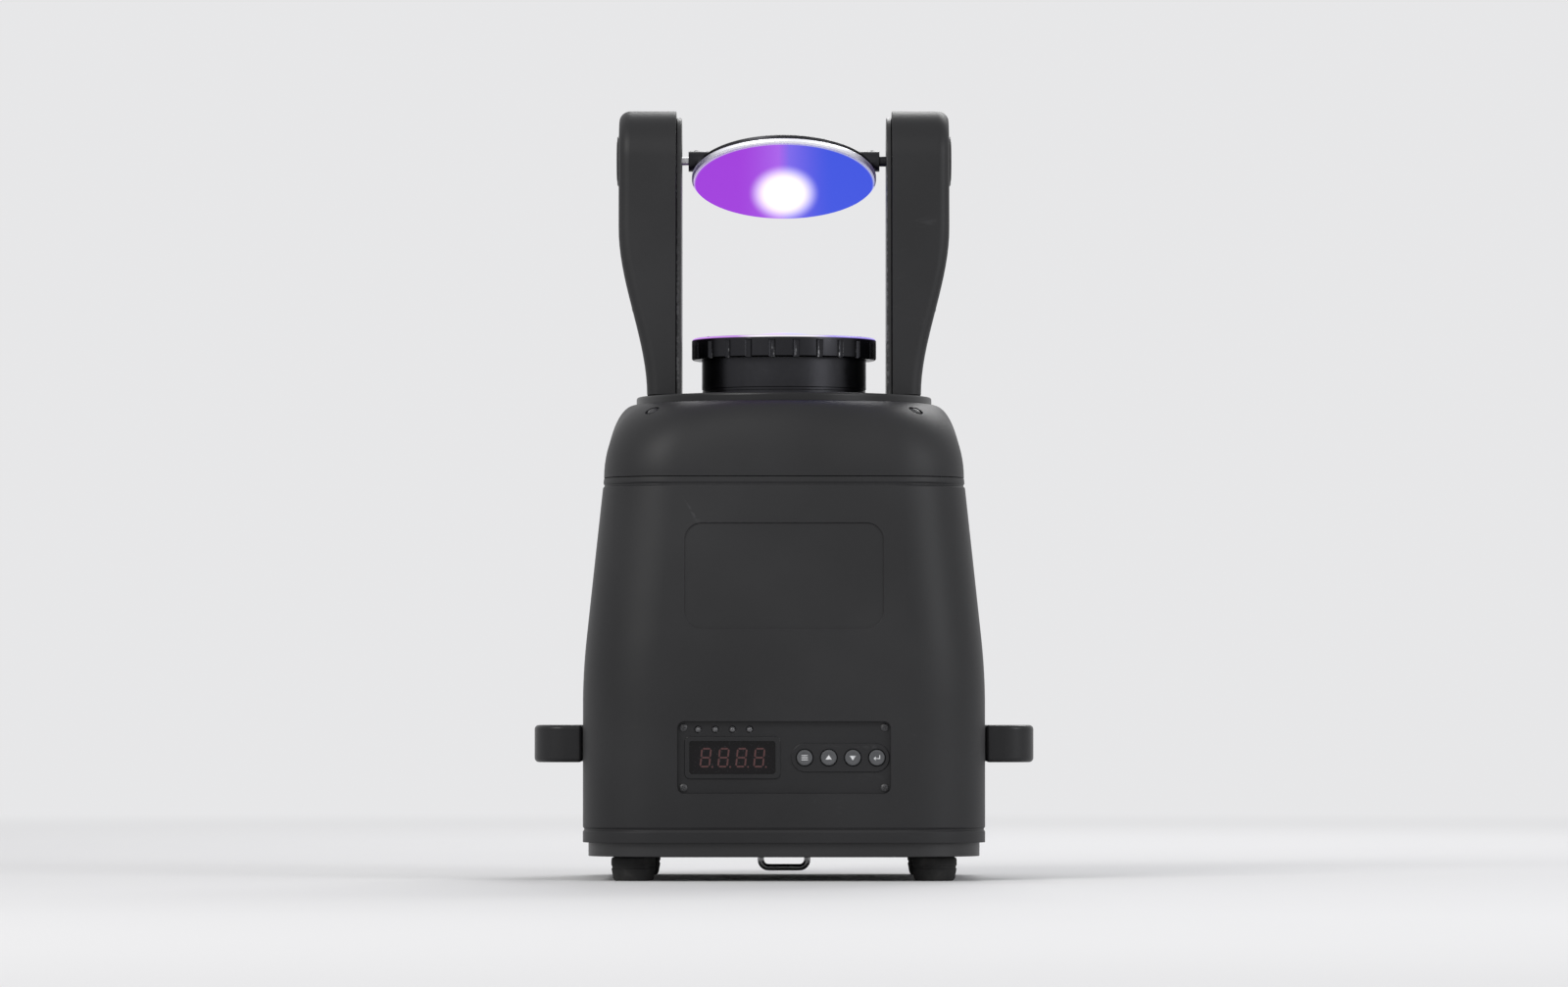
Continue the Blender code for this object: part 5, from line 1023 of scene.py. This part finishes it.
def covers():
    """Both yoke covers with their slots, foam, caps and screws."""
    places, pads = [], []
    for side, name in ((-1, "yoke_cover_left"), (1, "yoke_cover_right")):
        skin = cover_skin()
        slots = []
        for k in range(6):
            slot = block((74, -11, 352.9 + 6.5 * k), (106, 11, 355.1 + 6.5 * k))
            slots.append(round_edges(slot, lambda m, d: abs(d.x) > 0.9, 1.05, 5))
        wells = []
        for y, z in ((-17, 300), (17, 300), (0, 340)):
            out = COVER_X + cover_reach(z)
            wells.append(rod(4.4, out - 1.4, out + 6, (y, z), "X", 32))
            places.append(((side * (out - 1.5), y, z), outward(side)))
        cut(skin, join(*slots), join(*wells))
        soften(skin, 0.4, 2, 60)
        if side < 0:
            flipped(skin)
        finished(skin, name + "_moulding", "head", PLASTIC, "housing", name)
        cap = turned(
            [(0, 1.5), (11.6, 1.5), (12.0, 1.1), (12.0, 0.7), (13.4, 0.7), (13.4, 1.2), (14.4, 1.2)]
            + [(15.0, 0.6), (15.0, -0.6), (0, -0.6)],
            96,
        )
        moved(along(cap, outward(side)), offset=(side * (COVER_X + COVER_WIDE), 0, TILT_Z))
        finished(cap, name + "_cap", "head", SMOOTH_PLASTIC, "housing")
        levels = (349.0, 359.0, 369.0, 380.0, 391.0)
        faces = [(COVER_X + cover_reach(z) - COVER_WALL - FILTER_GAP, z) for z in levels]
        pads.append(foam_pad(side, faces, 2.0, -15, 15))
    finished(join(*pads), "cover_filters", "head", FOAM, "rubber")
    screws("cover_screws", places, "head")


def about_tilt(obj):
    """Takes a piece that was made face down round the origin to the tilt axle, leaned to its rest angle."""
    obj.data.transform(Matrix.Rotation(-MIRROR_TILT, 4, "X"))
    return moved(obj, offset=(0, 0, TILT_Z))


def mirror():
    """The mirror and the carrier behind it, with its lugs, pins, ribs, bosses and stub axle."""
    face, back = -MIRROR_AHEAD, -MIRROR_AHEAD + MIRROR_THICK
    pane = [(0, back), (54.5, back), (55, back - 0.5), (55, face + 0.9), (54.1, face), (0, face)]
    finished(about_tilt(turned(pane, 192)), "mirror_disc", "mirror", MIRROR, "mirror", "mirror_glass")

    low = back + 0.3
    disc = [(0, low), (53.3, low), (53.8, low + 0.5), (53.8, low + 2.0), (53.3, low + 2.5), (0, low + 2.5)]
    shapes = [turned(disc, 160)]
    for way in SIDES:
        (near, far), (foot_near, foot_far) = span(way, 45.0, 57.0), span(way, 45.2, 49.8)
        lug = weld(rod(6.2, near, far, axis="X"), block((foot_near, -5.6, low + 1), (foot_far, 5.6, 0)))
        if way < 0:
            cut(lug, rod(2.8, -60, -46, axis="X", sides=40))
        shapes.append(soften(lug, 0.25, 3, 40))
        shapes.append(soften(rod(1.6, -3.4, 6.6, (way * 52.5, 0), sides=24), 0.25, 2, 60))
    shapes.append(soften(block((-46, -1.5, low + 1), (46, 1.5, -0.5)), 0.4, 3))
    for angle in (35, 145, 215, 325):
        rib = soften(block((6, -1.2, low + 1), (48, 1.2, low + 5.5)), 0.4, 3)
        shapes.append(moved(rib, turn=radians(angle)))
    for top, radius in ((low + 6.3, 9.0), (low + 8.4, 5.0)):
        boss = [(0, low + 1), (radius, low + 1), (radius, top - 0.7), (radius - 0.7, top), (0, top)]
        shapes.append(turned(boss, 48))
    shapes.append(soften(rod(3.1, 56, 66.4, axis="X", sides=40), 0.3, 2, 60))
    whole = about_tilt(join(*shapes))
    finished(whole, "mirror_back", "mirror", ANODISED, "black_aluminium", "mirror_carrier")


turntable()
barrel()
bezel()
lens()
yoke_arm("yoke_left", -1, 11.3)
yoke_arm("yoke_right", 1, 3.4)
covers()
mirror()


# Control panel


def panel():
    """The plate round display and keys, the pane, four screws and four status lamps."""
    plate = tablet(134, 52, 5, 8, (0, PANEL_Z), PANEL_FACE, PANEL_FACE + 2.5)
    window_rim = tablet(55.6, 24.6, 3.2, 8, (DISPLAY_X, PANEL_Z), PANEL_FACE - 0.9, PANEL_FACE + 1)
    key_rim = tablet(57, 16.6, 8.2, 12, (32.8, PANEL_Z), PANEL_FACE - 0.8, PANEL_FACE + 1)
    weld(plate, window_rim, key_rim)
    cut(plate, tablet(50, 19, 1.5, 6, (DISPLAY_X, PANEL_Z), -120, -108))
    cut(plate, *[rod(5.0, -120, -108, (x, PANEL_Z), "Y") for x in BUTTONS.values()])
    cut(plate, *[rod(2.1, -116, -114.0, (x, PANEL_Z + STATUS_RISE), "Y", 32) for x in STATUS_X])
    soften(plate, 0.3, 3, 40)
    finished(plate, "panel_plate", "tower", SMOOTH_PLASTIC, "housing", "control_panel")

    pane = tablet(54, 23, 2, 6, (DISPLAY_X, PANEL_Z), PANEL_FACE + 2.8, PANEL_FACE + 4.3)
    finished(soften(pane, 0.3, 2), "display_pane", "tower", SMOKED, "screen", "display_window")
    places = [((sx * 58.6, PANEL_FACE, PANEL_Z + sz * 17.6), "-Y") for sx, sz in QUADRANTS]
    screws("panel_screws", places, radius=2.4, rise=1.2)
    dome = along(turned([(0, 1.3), (0.7, 1.2), (1.3, 0.8), (1.65, 0.2), (1.7, -0.4), (0, -0.4)], 28), "-Y")
    domes = spread(dome, [{"offset": (x, PANEL_FACE + 0.5, PANEL_Z + STATUS_RISE)} for x in STATUS_X])
    finished(domes, "status_lamps", "tower", LAMP_DOME, "screen")


def digits():
    """Unlit seven-segment digits behind the smoked pane, leaning a little to the right."""
    bar = [(-2.3, 0), (-1.8, 0.5), (1.8, 0.5), (2.3, 0), (1.8, -0.5), (-1.8, -0.5)]
    level = [(0, 5.2), (0, 0), (0, -5.2)]
    upright = [(-2.6, 2.6), (2.6, 2.6), (-2.6, -2.6), (2.6, -2.6)]
    segments = [(u, v, bar) for u, v in level] + [(u, v, [(-b, a) for a, b in bar]) for u, v in upright]
    low, high = PANEL_FACE + 2.72, PANEL_FACE + 3.0
    cells = []
    for digit in range(4):
        x = DISPLAY_X + (digit - 1.5) * 10.4
        for u, v, outline in segments:
            leaning = [(x + u + a + 0.10 * (v + b), PANEL_Z + v + b) for a, b in outline]
            cells.append(slab(leaning, low, high, "Y"))
        cells.append(rod(0.55, low, high, (x + 3.9, PANEL_Z - 5.4), "Y", 16))
    finished(join(*cells), "display_segments", "tower", SEGMENT, "screen")


BARS = [[(-1.9, y - 0.26), (1.9, y - 0.26), (1.9, y + 0.26), (-1.9, y + 0.26)] for y in (-1.25, 0, 1.25)]
KEY_MARKS = {
    "menu": BARS,
    "up": [[(-1.9, -1.1), (1.9, -1.1), (0, 1.6)]],
    "down": [[(-1.9, 1.1), (0, -1.6), (1.9, 1.1)]],
    "enter": [
        [(-0.7, -0.75), (1.9, -0.75), (1.9, 1.5), (1.4, 1.5), (1.4, -0.25), (-0.7, -0.25)],
        [(-0.6, 0.7), (-2.0, -0.5), (-0.6, -1.7)],
    ],
}


def keys():
    """Four dished keys, each with a raised mark."""
    cap = turned(
        [(0, 1.75), (1.6, 1.78), (2.7, 1.92), (3.3, 2.12), (3.8, 2.18), (4.3, 2.0), (4.55, 1.6), (4.6, 1.1)]
        + [(4.6, -2.8), (6.0, -2.8), (6.0, -4.2), (0, -4.2)],
        64,
    )
    along(cap, "-Y")
    for name, x in BUTTONS.items():
        place, body = (x, PANEL_FACE, PANEL_Z), f"{name}_key"
        finished(copy(cap, offset=place), f"key_{name}", body, KEY, "button", f"button_{name}")
        marks = join(*[slab(outline, 1.6, 1.99) for outline in KEY_MARKS[name]])
        finished(moved(along(marks, "-Y"), offset=place), f"key_{name}_mark", body, INK, "button")
    bpy.data.objects.remove(cap)


# Connector plate


def chamfered(width, height, chamfer, radius, centre):
    """A socket's outline: its two upper corners cut off, its lower ones round."""
    w, h = width / 2, height / 2
    points = [(w, h - chamfer), (w - chamfer, h), (-w + chamfer, h), (-w, h - chamfer)]
    points += arc(radius, pi, 1.5 * pi, 5, (-w + radius, -h + radius))
    points += arc(radius, 1.5 * pi, 2 * pi, 5, (w - radius, -h + radius))
    return [(centre[0] + x, centre[1] + z) for x, z in points]


def rear_plate():
    """The plate round the sockets, with its screws and arrows."""
    plate = tablet(150, 68, 5, 8, (0, PLATE_Z), PLATE_FACE - 2.0, PLATE_FACE)
    holes = [tablet(27.6, 20.1, 2.2, 6, (x, POWER_Z), 100, 120) for x in (INLET_X, OUTLET_X)]
    holes.append(block((INLET_X - 13.0, 100, 50.8), (INLET_X + 13.0, 120, 62.3)))
    holes += [rod(11.8, 100, 120, (x, PLATE_Z), "Y", 64) for x in (SIGNAL_IN_X, SIGNAL_OUT_X)]
    cut(plate, *holes)
    soften(plate, 0.3, 2, 40)
    finished(plate, "rear_panel", "tower", COATED, "painted_metal", "connector_plate")
    places = [((x, PLATE_FACE, PLATE_Z + sz * 25.4), "+Y") for x in (-66.4, 66.4, 1.5) for sz in SIDES]
    screws("rear_panel_screws", places, radius=2.4, rise=1.2)
    arrows = [(INLET_X, 47.6, 50.0), (SIGNAL_IN_X, 47.6, 50.0), (SIGNAL_OUT_X, 50.0, 47.6)]
    marks = [slab([(x - 1.8, z), (x + 1.8, z), (x, tip)], 114.68, 114.86, "Y") for x, z, tip in arrows]
    finished(join(*marks), "rear_panel_marks", "tower", INK, "painted_metal")


def power_flange(x):
    """The flange that the mains inlet and outlet share, with the body behind it."""
    flange = tablet(31, 46, 3, 8, (x, PLATE_Z), 115.0, 117.4)
    return weld(flange, tablet(27, 19.5, 2, 6, (x, POWER_Z), 93.4, 116.0))


def inlet():
    """The mains inlet with its three blades and the case that the fuse drawer slides in."""
    x, z = INLET_X, POWER_Z
    made = power_flange(x)
    cut(made, slab(chamfered(23.5, 16, 3.4, 1.4, (x, z)), 100.9, 120, "Y"))
    weld(made, block((x - 12.85, 97.3, 51.0), (x + 12.85, 116, 62.0)))
    cut(made, tablet(22.1, 7.4, 0.6, 3, (x, DRAWER_Z), 99.1, 120))
    soften(made, 0.45, 3, 40)
    finished(made, "power_inlet_body", "tower", SMOOTH_PLASTIC, "connector", "power_inlet")
    blades = [block((x + u - 1, 99.9, z + v - 2), (x + u + 1, 109.9, z + v + 2)) for u, v in BLADES]
    for blade in blades:
        round_edges(blade, lambda m, d: m.y > 109.8, 0.7, 3)
    finished(join(*blades), "power_inlet_blades", "tower", NICKEL, "brass")


def outlet():
    """The mains outlet: a moat round a core with three slots, and a blank field below."""
    x, z = OUTLET_X, POWER_Z
    made = power_flange(x)
    moat = slab(chamfered(25.0, 17.5, 3.6, 1.6, (x, z)), 101.5, 120, "Y")
    cut(moat, slab(chamfered(22.0, 14.6, 3.0, 1.2, (x, z)), 90, 130, "Y"))
    cut(made, moat)
    for u, v in BLADES:
        cut(made, block((x + u - 1.15, 101, z + v - 2.15), (x + u + 1.15, 120, z + v + 2.15)))
    cut(made, tablet(20, 11, 1.2, 5, (x, 56.8), 116.4, 120))
    soften(made, 0.35, 3, 40)
    finished(made, "power_outlet_body", "tower", SMOOTH_PLASTIC, "connector", "power_outlet")


def fuse_drawer():
    """The drawer's front has a nail slot between two pairs of grooves."""
    x = INLET_X
    made = block((x - 10.75, 99.4, 53.1), (x + 10.75, 117.4, 59.9))
    nail = tablet(11, 3.6, 1.2, 5, (x, DRAWER_Z), 116.6, 120)
    offsets = [way * reach for reach in (8.2, 7.0) for way in SIDES]
    grooves = [block((x + u - 0.35, 116.8, 54.2), (x + u + 0.35, 120, 58.8)) for u in offsets]
    cut(made, nail, join(*grooves))
    soften(made, 0.15, 2, 50)
    finished(made, "fuse_drawer_body", "drawer", SMOOTH_PLASTIC, "connector", "fuse_drawer")


def signal_socket(name, x, node):
    """A round three-pin socket: the input has pins in a cup, the output a face with three holes."""
    takes_pins = node == "dmx_out"
    flange = tablet(26, 31, 3, 8, (x, PLATE_Z), 115.0, 117.2)
    cut(flange, rod(11.2, 110, 120, (x, PLATE_Z), "Y", 96))
    if takes_pins:
        cut(flange, block((x - 4.3, 114.0, PLATE_Z + 10.0), (x + 4.3, 120, PLATE_Z + 14.6)))
    soften(flange, 0.3, 3, 40)
    wall = [(0, 97.4), (11.5, 97.4), (11.5, 116.6), (11.3, 117.3), (10.9, 117.8), (10.4, 117.9), (9.9, 117.7)]
    pins = [(4.8 * cos(radians(t)), 4.8 * sin(radians(t))) for t in (30, 150, 270)]
    if takes_pins:
        floor, low, high = 110.0, 109.0, 115.6
        key = soften(block((-1.4, -9.9, 106.5), (1.4, -8.6, 116.6)), 0.3, 2)
        insert = turned([(0, 106.0), (8.9, 106.0), (8.9, 116.4), (8.5, 116.8), (0, 116.8)], 64)
        cut(insert, *[rod(1.75, 108, 120, at, sides=28) for at in pins])
        soften(insert, 0.2, 2, 60)
        contact = [(1.05, low), (1.6, low), (1.6, high), (1.05, high), (1.05, low)]
    else:
        floor, low, high = 106.4, 106.6, 111.9
        key = soften(block((-1.4, 8.3, 106.5), (1.4, 9.9, 116.6)), 0.4, 3)
        insert = turned([(0, 106.0), (9.3, 106.0), (9.3, 106.5), (9.0, 106.8), (0, 106.8)], 64)
        contact = [(0, low), (1.2, low), (1.2, high - 1.0), (1.05, high - 0.4), (0.6, high), (0, high + 0.1)]
    tube = turned(wall + [(9.5, 117.2), (9.5, floor), (0, floor)], 96)
    for shape in (tube, key, insert):
        moved(flipped(along(shape, "+Y"), 2), offset=(x, 0, PLATE_Z))
    finished(join(flange, tube, key), name + "_shell", "tower", CONNECTOR_METAL, "connector", node)
    finished(insert, name + "_insert", "tower", SMOOTH_PLASTIC, "connector")
    places = [((x + sx * 9.8, 117.1, PLATE_Z - sx * 12.4), "+Y") for sx in SIDES]
    screws(name + "_screws", places, radius=2.2, rise=0.8, look=STEEL)
    pin = along(turned(contact, 24), "+Y")
    contacts = spread(pin, [{"offset": (x + u, 0, PLATE_Z + v)} for u, v in pins])
    finished(contacts, name + "_contacts", "tower", BRASS, "brass")


def release_tab():
    """A grooved steel tab over the signal output."""
    x = SIGNAL_OUT_X
    tab = block((x - 4, 116.2, PLATE_Z + 10.7), (x + 4, 117.9, PLATE_Z + 14.3))
    round_edges(tab, lambda m, d: abs(d.y) > 0.9, 0.9, 5)
    cut(tab, *[block((x - 3, 117.4, z), (x + 3, 120, z + 0.4)) for z in (81.5, 82.3, 83.1)])
    soften(tab, 0.12, 2, 60)
    finished(tab, "release_tab_button", "release", STEEL, "steel", "dmx_release_tab")


panel()
digits()
keys()
rear_plate()
inlet()
outlet()
fuse_drawer()
signal_socket("signal_input", SIGNAL_IN_X, "dmx_in")
signal_socket("signal_output", SIGNAL_OUT_X, "dmx_out")
release_tab()


# Inner works, kept as packed


def lead_screw_steel():
    """Bright steel with a thread wound round the focus screw's own axis, the thread's grooves painted darker
    as painted shade.
    """
    low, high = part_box("focus_screw")
    look = Look("lead_screw_steel", (0.58, 0.58, 0.59), Metallic=1.0)
    x, y = look.axis("X"), look.axis("Y") - (low[1] + high[1]) / 2 / MM
    thread = (y.maths("ARCTAN2", x) + look.axis("Z") * (2 * pi / 1.2)).maths("SINE")
    # Painted shade: the thread's grooves darker than its crests.
    return look.made(
        Base_Color=look.mix(thread.below(-0.9, 0.1), (0.60, 0.60, 0.61), (0.20, 0.20, 0.21)),
        Roughness=0.30 + thread * 0.06,
        Normal=look.bump(thread, 0.25),
    )


def laminated(node, axis):
    """A stepping motor: dark laminations between cast end caps."""
    low, high = [c["XYZ".index(axis)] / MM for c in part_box(node)]
    look = Look(node + "_laminations", (0.03, 0.03, 0.033), Metallic=1.0)
    height, cap = look.axis(axis), (high - low) * 0.24
    middle = height.above(low + cap, low + cap + 0.2) * height.below(high - cap - 0.2, high - cap)
    sheets, cloud = height.wave(0.7) * middle, look.noise(60, 3)
    cast = look.mix(cloud, (0.56, 0.57, 0.59), (0.68, 0.69, 0.71))
    return look.made(
        Base_Color=look.mix(middle, cast, (0.030, 0.030, 0.033)),
        Roughness=0.42 + sheets * 0.08 + (cloud - 0.5) * 0.1,
        Normal=look.bump(sheets, 0.03),
    )


def colour_filters():
    """Dichroic filters round the wheel, with magenta and blue side by side over the lamp."""
    low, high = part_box("colour_wheel")
    centre = [(low[k] + high[k]) / 2 / MM for k in range(2)]
    look = Look("colour_filters", (0.4, 0.1, 0.5), Roughness=0.08, Coat_Weight=0.6)
    x, y = [look.axis(name) - c for name, c in zip("XY", centre)]
    start = atan2(-centre[1], -centre[0])
    share = ((y.maths("ARCTAN2", x) - start) / (2 * pi) + 1.0).maths("FRACT")
    colours = [
        (0.02, 0.08, 0.85), (0.02, 0.60, 0.75), (0.03, 0.55, 0.08), (0.90, 0.75, 0.02),
        (0.90, 0.30, 0.01), (0.80, 0.02, 0.02), (0.85, 0.85, 0.88), (0.70, 0.02, 0.55),
    ]
    stops = [(k / len(colours), c) for k, c in enumerate(colours)]
    tint = look.node("ValToRGB", {"interpolation": "CONSTANT", "stops": stops}, {"Fac": share})
    hub, shift = look.radius(centre).below(15.0, 15.4), look.noise(50, 2)
    filters = look.mix(shift * 0.25, tint, (0.5, 0.5, 0.6))
    return look.made(
        Base_Color=look.mix(hub, filters, (0.05, 0.05, 0.055)),
        Roughness=0.06 + hub * 0.3 + shift * 0.04,
    )


def circuit_board():
    """Green board with tracks and bright pads, drawn on its flat side."""
    look = Look("circuit_board", (0.010, 0.070, 0.035), Roughness=0.35, Coat_Weight=0.3)
    flat = look.stretched((1.0, 0.001, 1.0))
    pads = look.cells(260.0, flat, distance="CHEBYCHEV").below(0.10, 0.13)
    lines = look.cells(95.0, flat, distance="MANHATTAN")
    tracks = lines.above(0.42, 0.46) * lines.below(0.50, 0.54)
    green = look.mix(tracks, (0.008, 0.060, 0.030), (0.020, 0.150, 0.060))
    return look.made(
        Base_Color=look.mix(pads, green, (0.55, 0.54, 0.50)),
        Metallic=pads * 0.9,
        Normal=look.bump(tracks + pads, 0.04),
    )


def perforated_case():
    """Pressed sheet with rows of small holes, painted as near-black dots: painted shade of the dark inside
    seen through them.
    """
    look = Look("perforated_case", (0.50, 0.51, 0.53), Metallic=1.0)
    x, z = [look.axis(name).wave(5.0) for name in "XZ"]
    # Painted shade: near-black dots where the holes are.
    dark, grain = (x * x * (z * z)).above(0.55, 0.62), look.noise(60, 3, (6, 1, 1))
    sheet = look.mix(grain, (0.44, 0.45, 0.47), (0.56, 0.57, 0.59))
    return look.made(
        Base_Color=look.mix(dark, sheet, (0.01, 0.01, 0.01)),
        Roughness=0.34 + grain * 0.1 + dark * 0.3,
        Normal=look.bump(1 - dark, 0.2),
    )


def led_package():
    """Yellow phosphor on a white ceramic base."""
    look = Look("led_package", (0.8, 0.8, 0.78), Emission_Strength=1.0)
    out, cells = look.radius(), look.cells(900.0, distance="CHEBYCHEV")
    chip, base = out.below(7.6, 8.2), out.below(11.0, 11.4)
    ceramic = look.mix(look.noise(90, 3), (0.70, 0.70, 0.69), (0.80, 0.80, 0.78))
    pale = look.mix(base, ceramic, (0.85, 0.84, 0.80))
    return look.made(
        Base_Color=look.mix(chip, pale, (0.95, 0.75, 0.20)),
        Emission_Color=look.mix(chip * cells.below(0.3, 0.5), BLACK, (0.8, 0.75, 0.9)),
        Roughness=0.35 - chip * 0.2 + cells * 0.05,
    )


def clear_glass(name, tint):
    """Optical glass with the faintest smears."""
    look = Look(name, tint, Transmission_Weight=1.0, Roughness=0.02, Coat_Weight=0.5, IOR=1.52)
    smear = look.noise(40, 3).above(0.55, 0.8)
    tone = look.mix(smear * 0.4, tint, (0.96, 0.97, 0.98))
    return look.made(Base_Color=tone, Roughness=0.015 + smear * 0.04)


def carried(look, *nodes):
    """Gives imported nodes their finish."""
    for name in nodes:
        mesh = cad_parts[name].data
        for k in range(len(mesh.materials)):
            mesh.materials[k] = look


carried(ZINC, "lamp_plate", "wheel_plate", "head_plate", "frame_left", "frame_right")
carried(perforated_case(), "power_supply")
carried(ALUMINIUM, "heat_sink")
carried(ANODISED, "condenser_holder", "focus_carriage")
carried(DARK_STEEL, "gobo_wheel")
carried(STEEL, "guide_rod", "tilt_shaft", "pan_bearing")
carried(lead_screw_steel(), "focus_screw")
carried(BRASS, "pan_pinion")
carried(colour_filters(), "colour_wheel")
carried(circuit_board(), "main_board")
carried(led_package(), "led_module")
carried(SMOOTH_PLASTIC, "fan_frame", "fan_rotor")
carried(clear_glass("condenser_glass", (0.93, 0.95, 0.97)), "condenser_lens")
carried(clear_glass("focus_glass", (0.95, 0.94, 0.98)), "focus_lens")
for motor in ("colour_motor", "gobo_motor", "focus_motor", "pan_motor"):
    carried(laminated(motor, "Z"), motor)
carried(laminated("tilt_motor", "X"), "tilt_motor")


# Floor, lamps and camera, in metres

PALE = (0.80, 0.80, 0.81)


def ground():
    """A pale floor that runs out into the pale background."""
    floor = added(bpy.ops.mesh.primitive_grid_add, x_subdivisions=12, y_subdivisions=12, size=24)
    floor.name = floor.data.name = "floor"
    look = Look("pale_floor", PALE, Roughness=0.75, Specular_IOR_Level=0.2)
    look.made(Base_Color=look.mix(look.noise(1.4, 3), (0.79, 0.79, 0.80), (0.82, 0.82, 0.83)))
    glow = look.node("Emission", {}, {"Color": (*PALE, 1), "Strength": 1.0})
    fade = (look.radius() * MM).above(0.9, 3.2)
    mixed = look.node("MixShader", {}, {0: fade, 1: Field(look, look.shader.outputs[0]), 2: glow})
    look.tree.links.new(mixed.socket, look.tree.nodes["Material Output"].inputs["Surface"])
    floor.data.materials.append(look.material)


def background():
    """Plain light from all round, which the camera, metal and glass see at full strength."""
    world = bpy.data.worlds.new("studio")
    bpy.context.scene.world = world
    shading = Shading(world)
    kinds = ("Camera", "Glossy", "Transmission")
    direct, mirrored, through = [shading.node("LightPath", {}, {}, f"Is {kind} Ray") for kind in kinds]
    seen = direct.maths("MAXIMUM", mirrored.maths("MAXIMUM", through))
    sky = shading.tree.nodes["Background"]
    sky.inputs["Color"].default_value = (*PALE, 1)
    shading.tree.links.new((seen * 0.45 + 0.55).socket, sky.inputs["Strength"])


def placed(name, data, place, aim):
    """Puts a lamp or the camera at a place and turns it to look at a point."""
    obj = bpy.data.objects.new(name, data)
    bpy.context.scene.collection.objects.link(obj)
    obj.location = place
    obj.rotation_euler = (Vector(aim) - Vector(place)).to_track_quat("-Z", "Y").to_euler()
    return obj


def lamp(name, place, aim, size, power, colour=(1, 1, 1)):
    light = bpy.data.lights.new(name, "AREA")
    light.shape, light.size, light.size_y = "RECTANGLE", *size
    light.energy, light.color = power, colour
    placed(name, light, place, aim)


ground()
background()
lamp("key_softbox", (-1.5, -2.0, 1.9), (0, 0, 0.22), (1.2, 1.0), 34, (1.0, 0.99, 0.97))
lamp("fill_softbox", (1.9, -1.4, 1.1), (0, 0, 0.22), (1.0, 1.2), 16, (0.97, 0.98, 1.0))
lamp("rear_softbox", (0.5, 2.0, 1.9), (0, 0, 0.25), (1.4, 0.9), 26)

camera = bpy.data.cameras.new("camera")
camera.lens, camera.sensor_width = 177.0, 36.0
bpy.context.scene.camera = placed("camera", camera, (0, -4.6, 0.095), (0, 0, 0.229))
bpy.context.scene.view_settings.view_transform = "Standard"
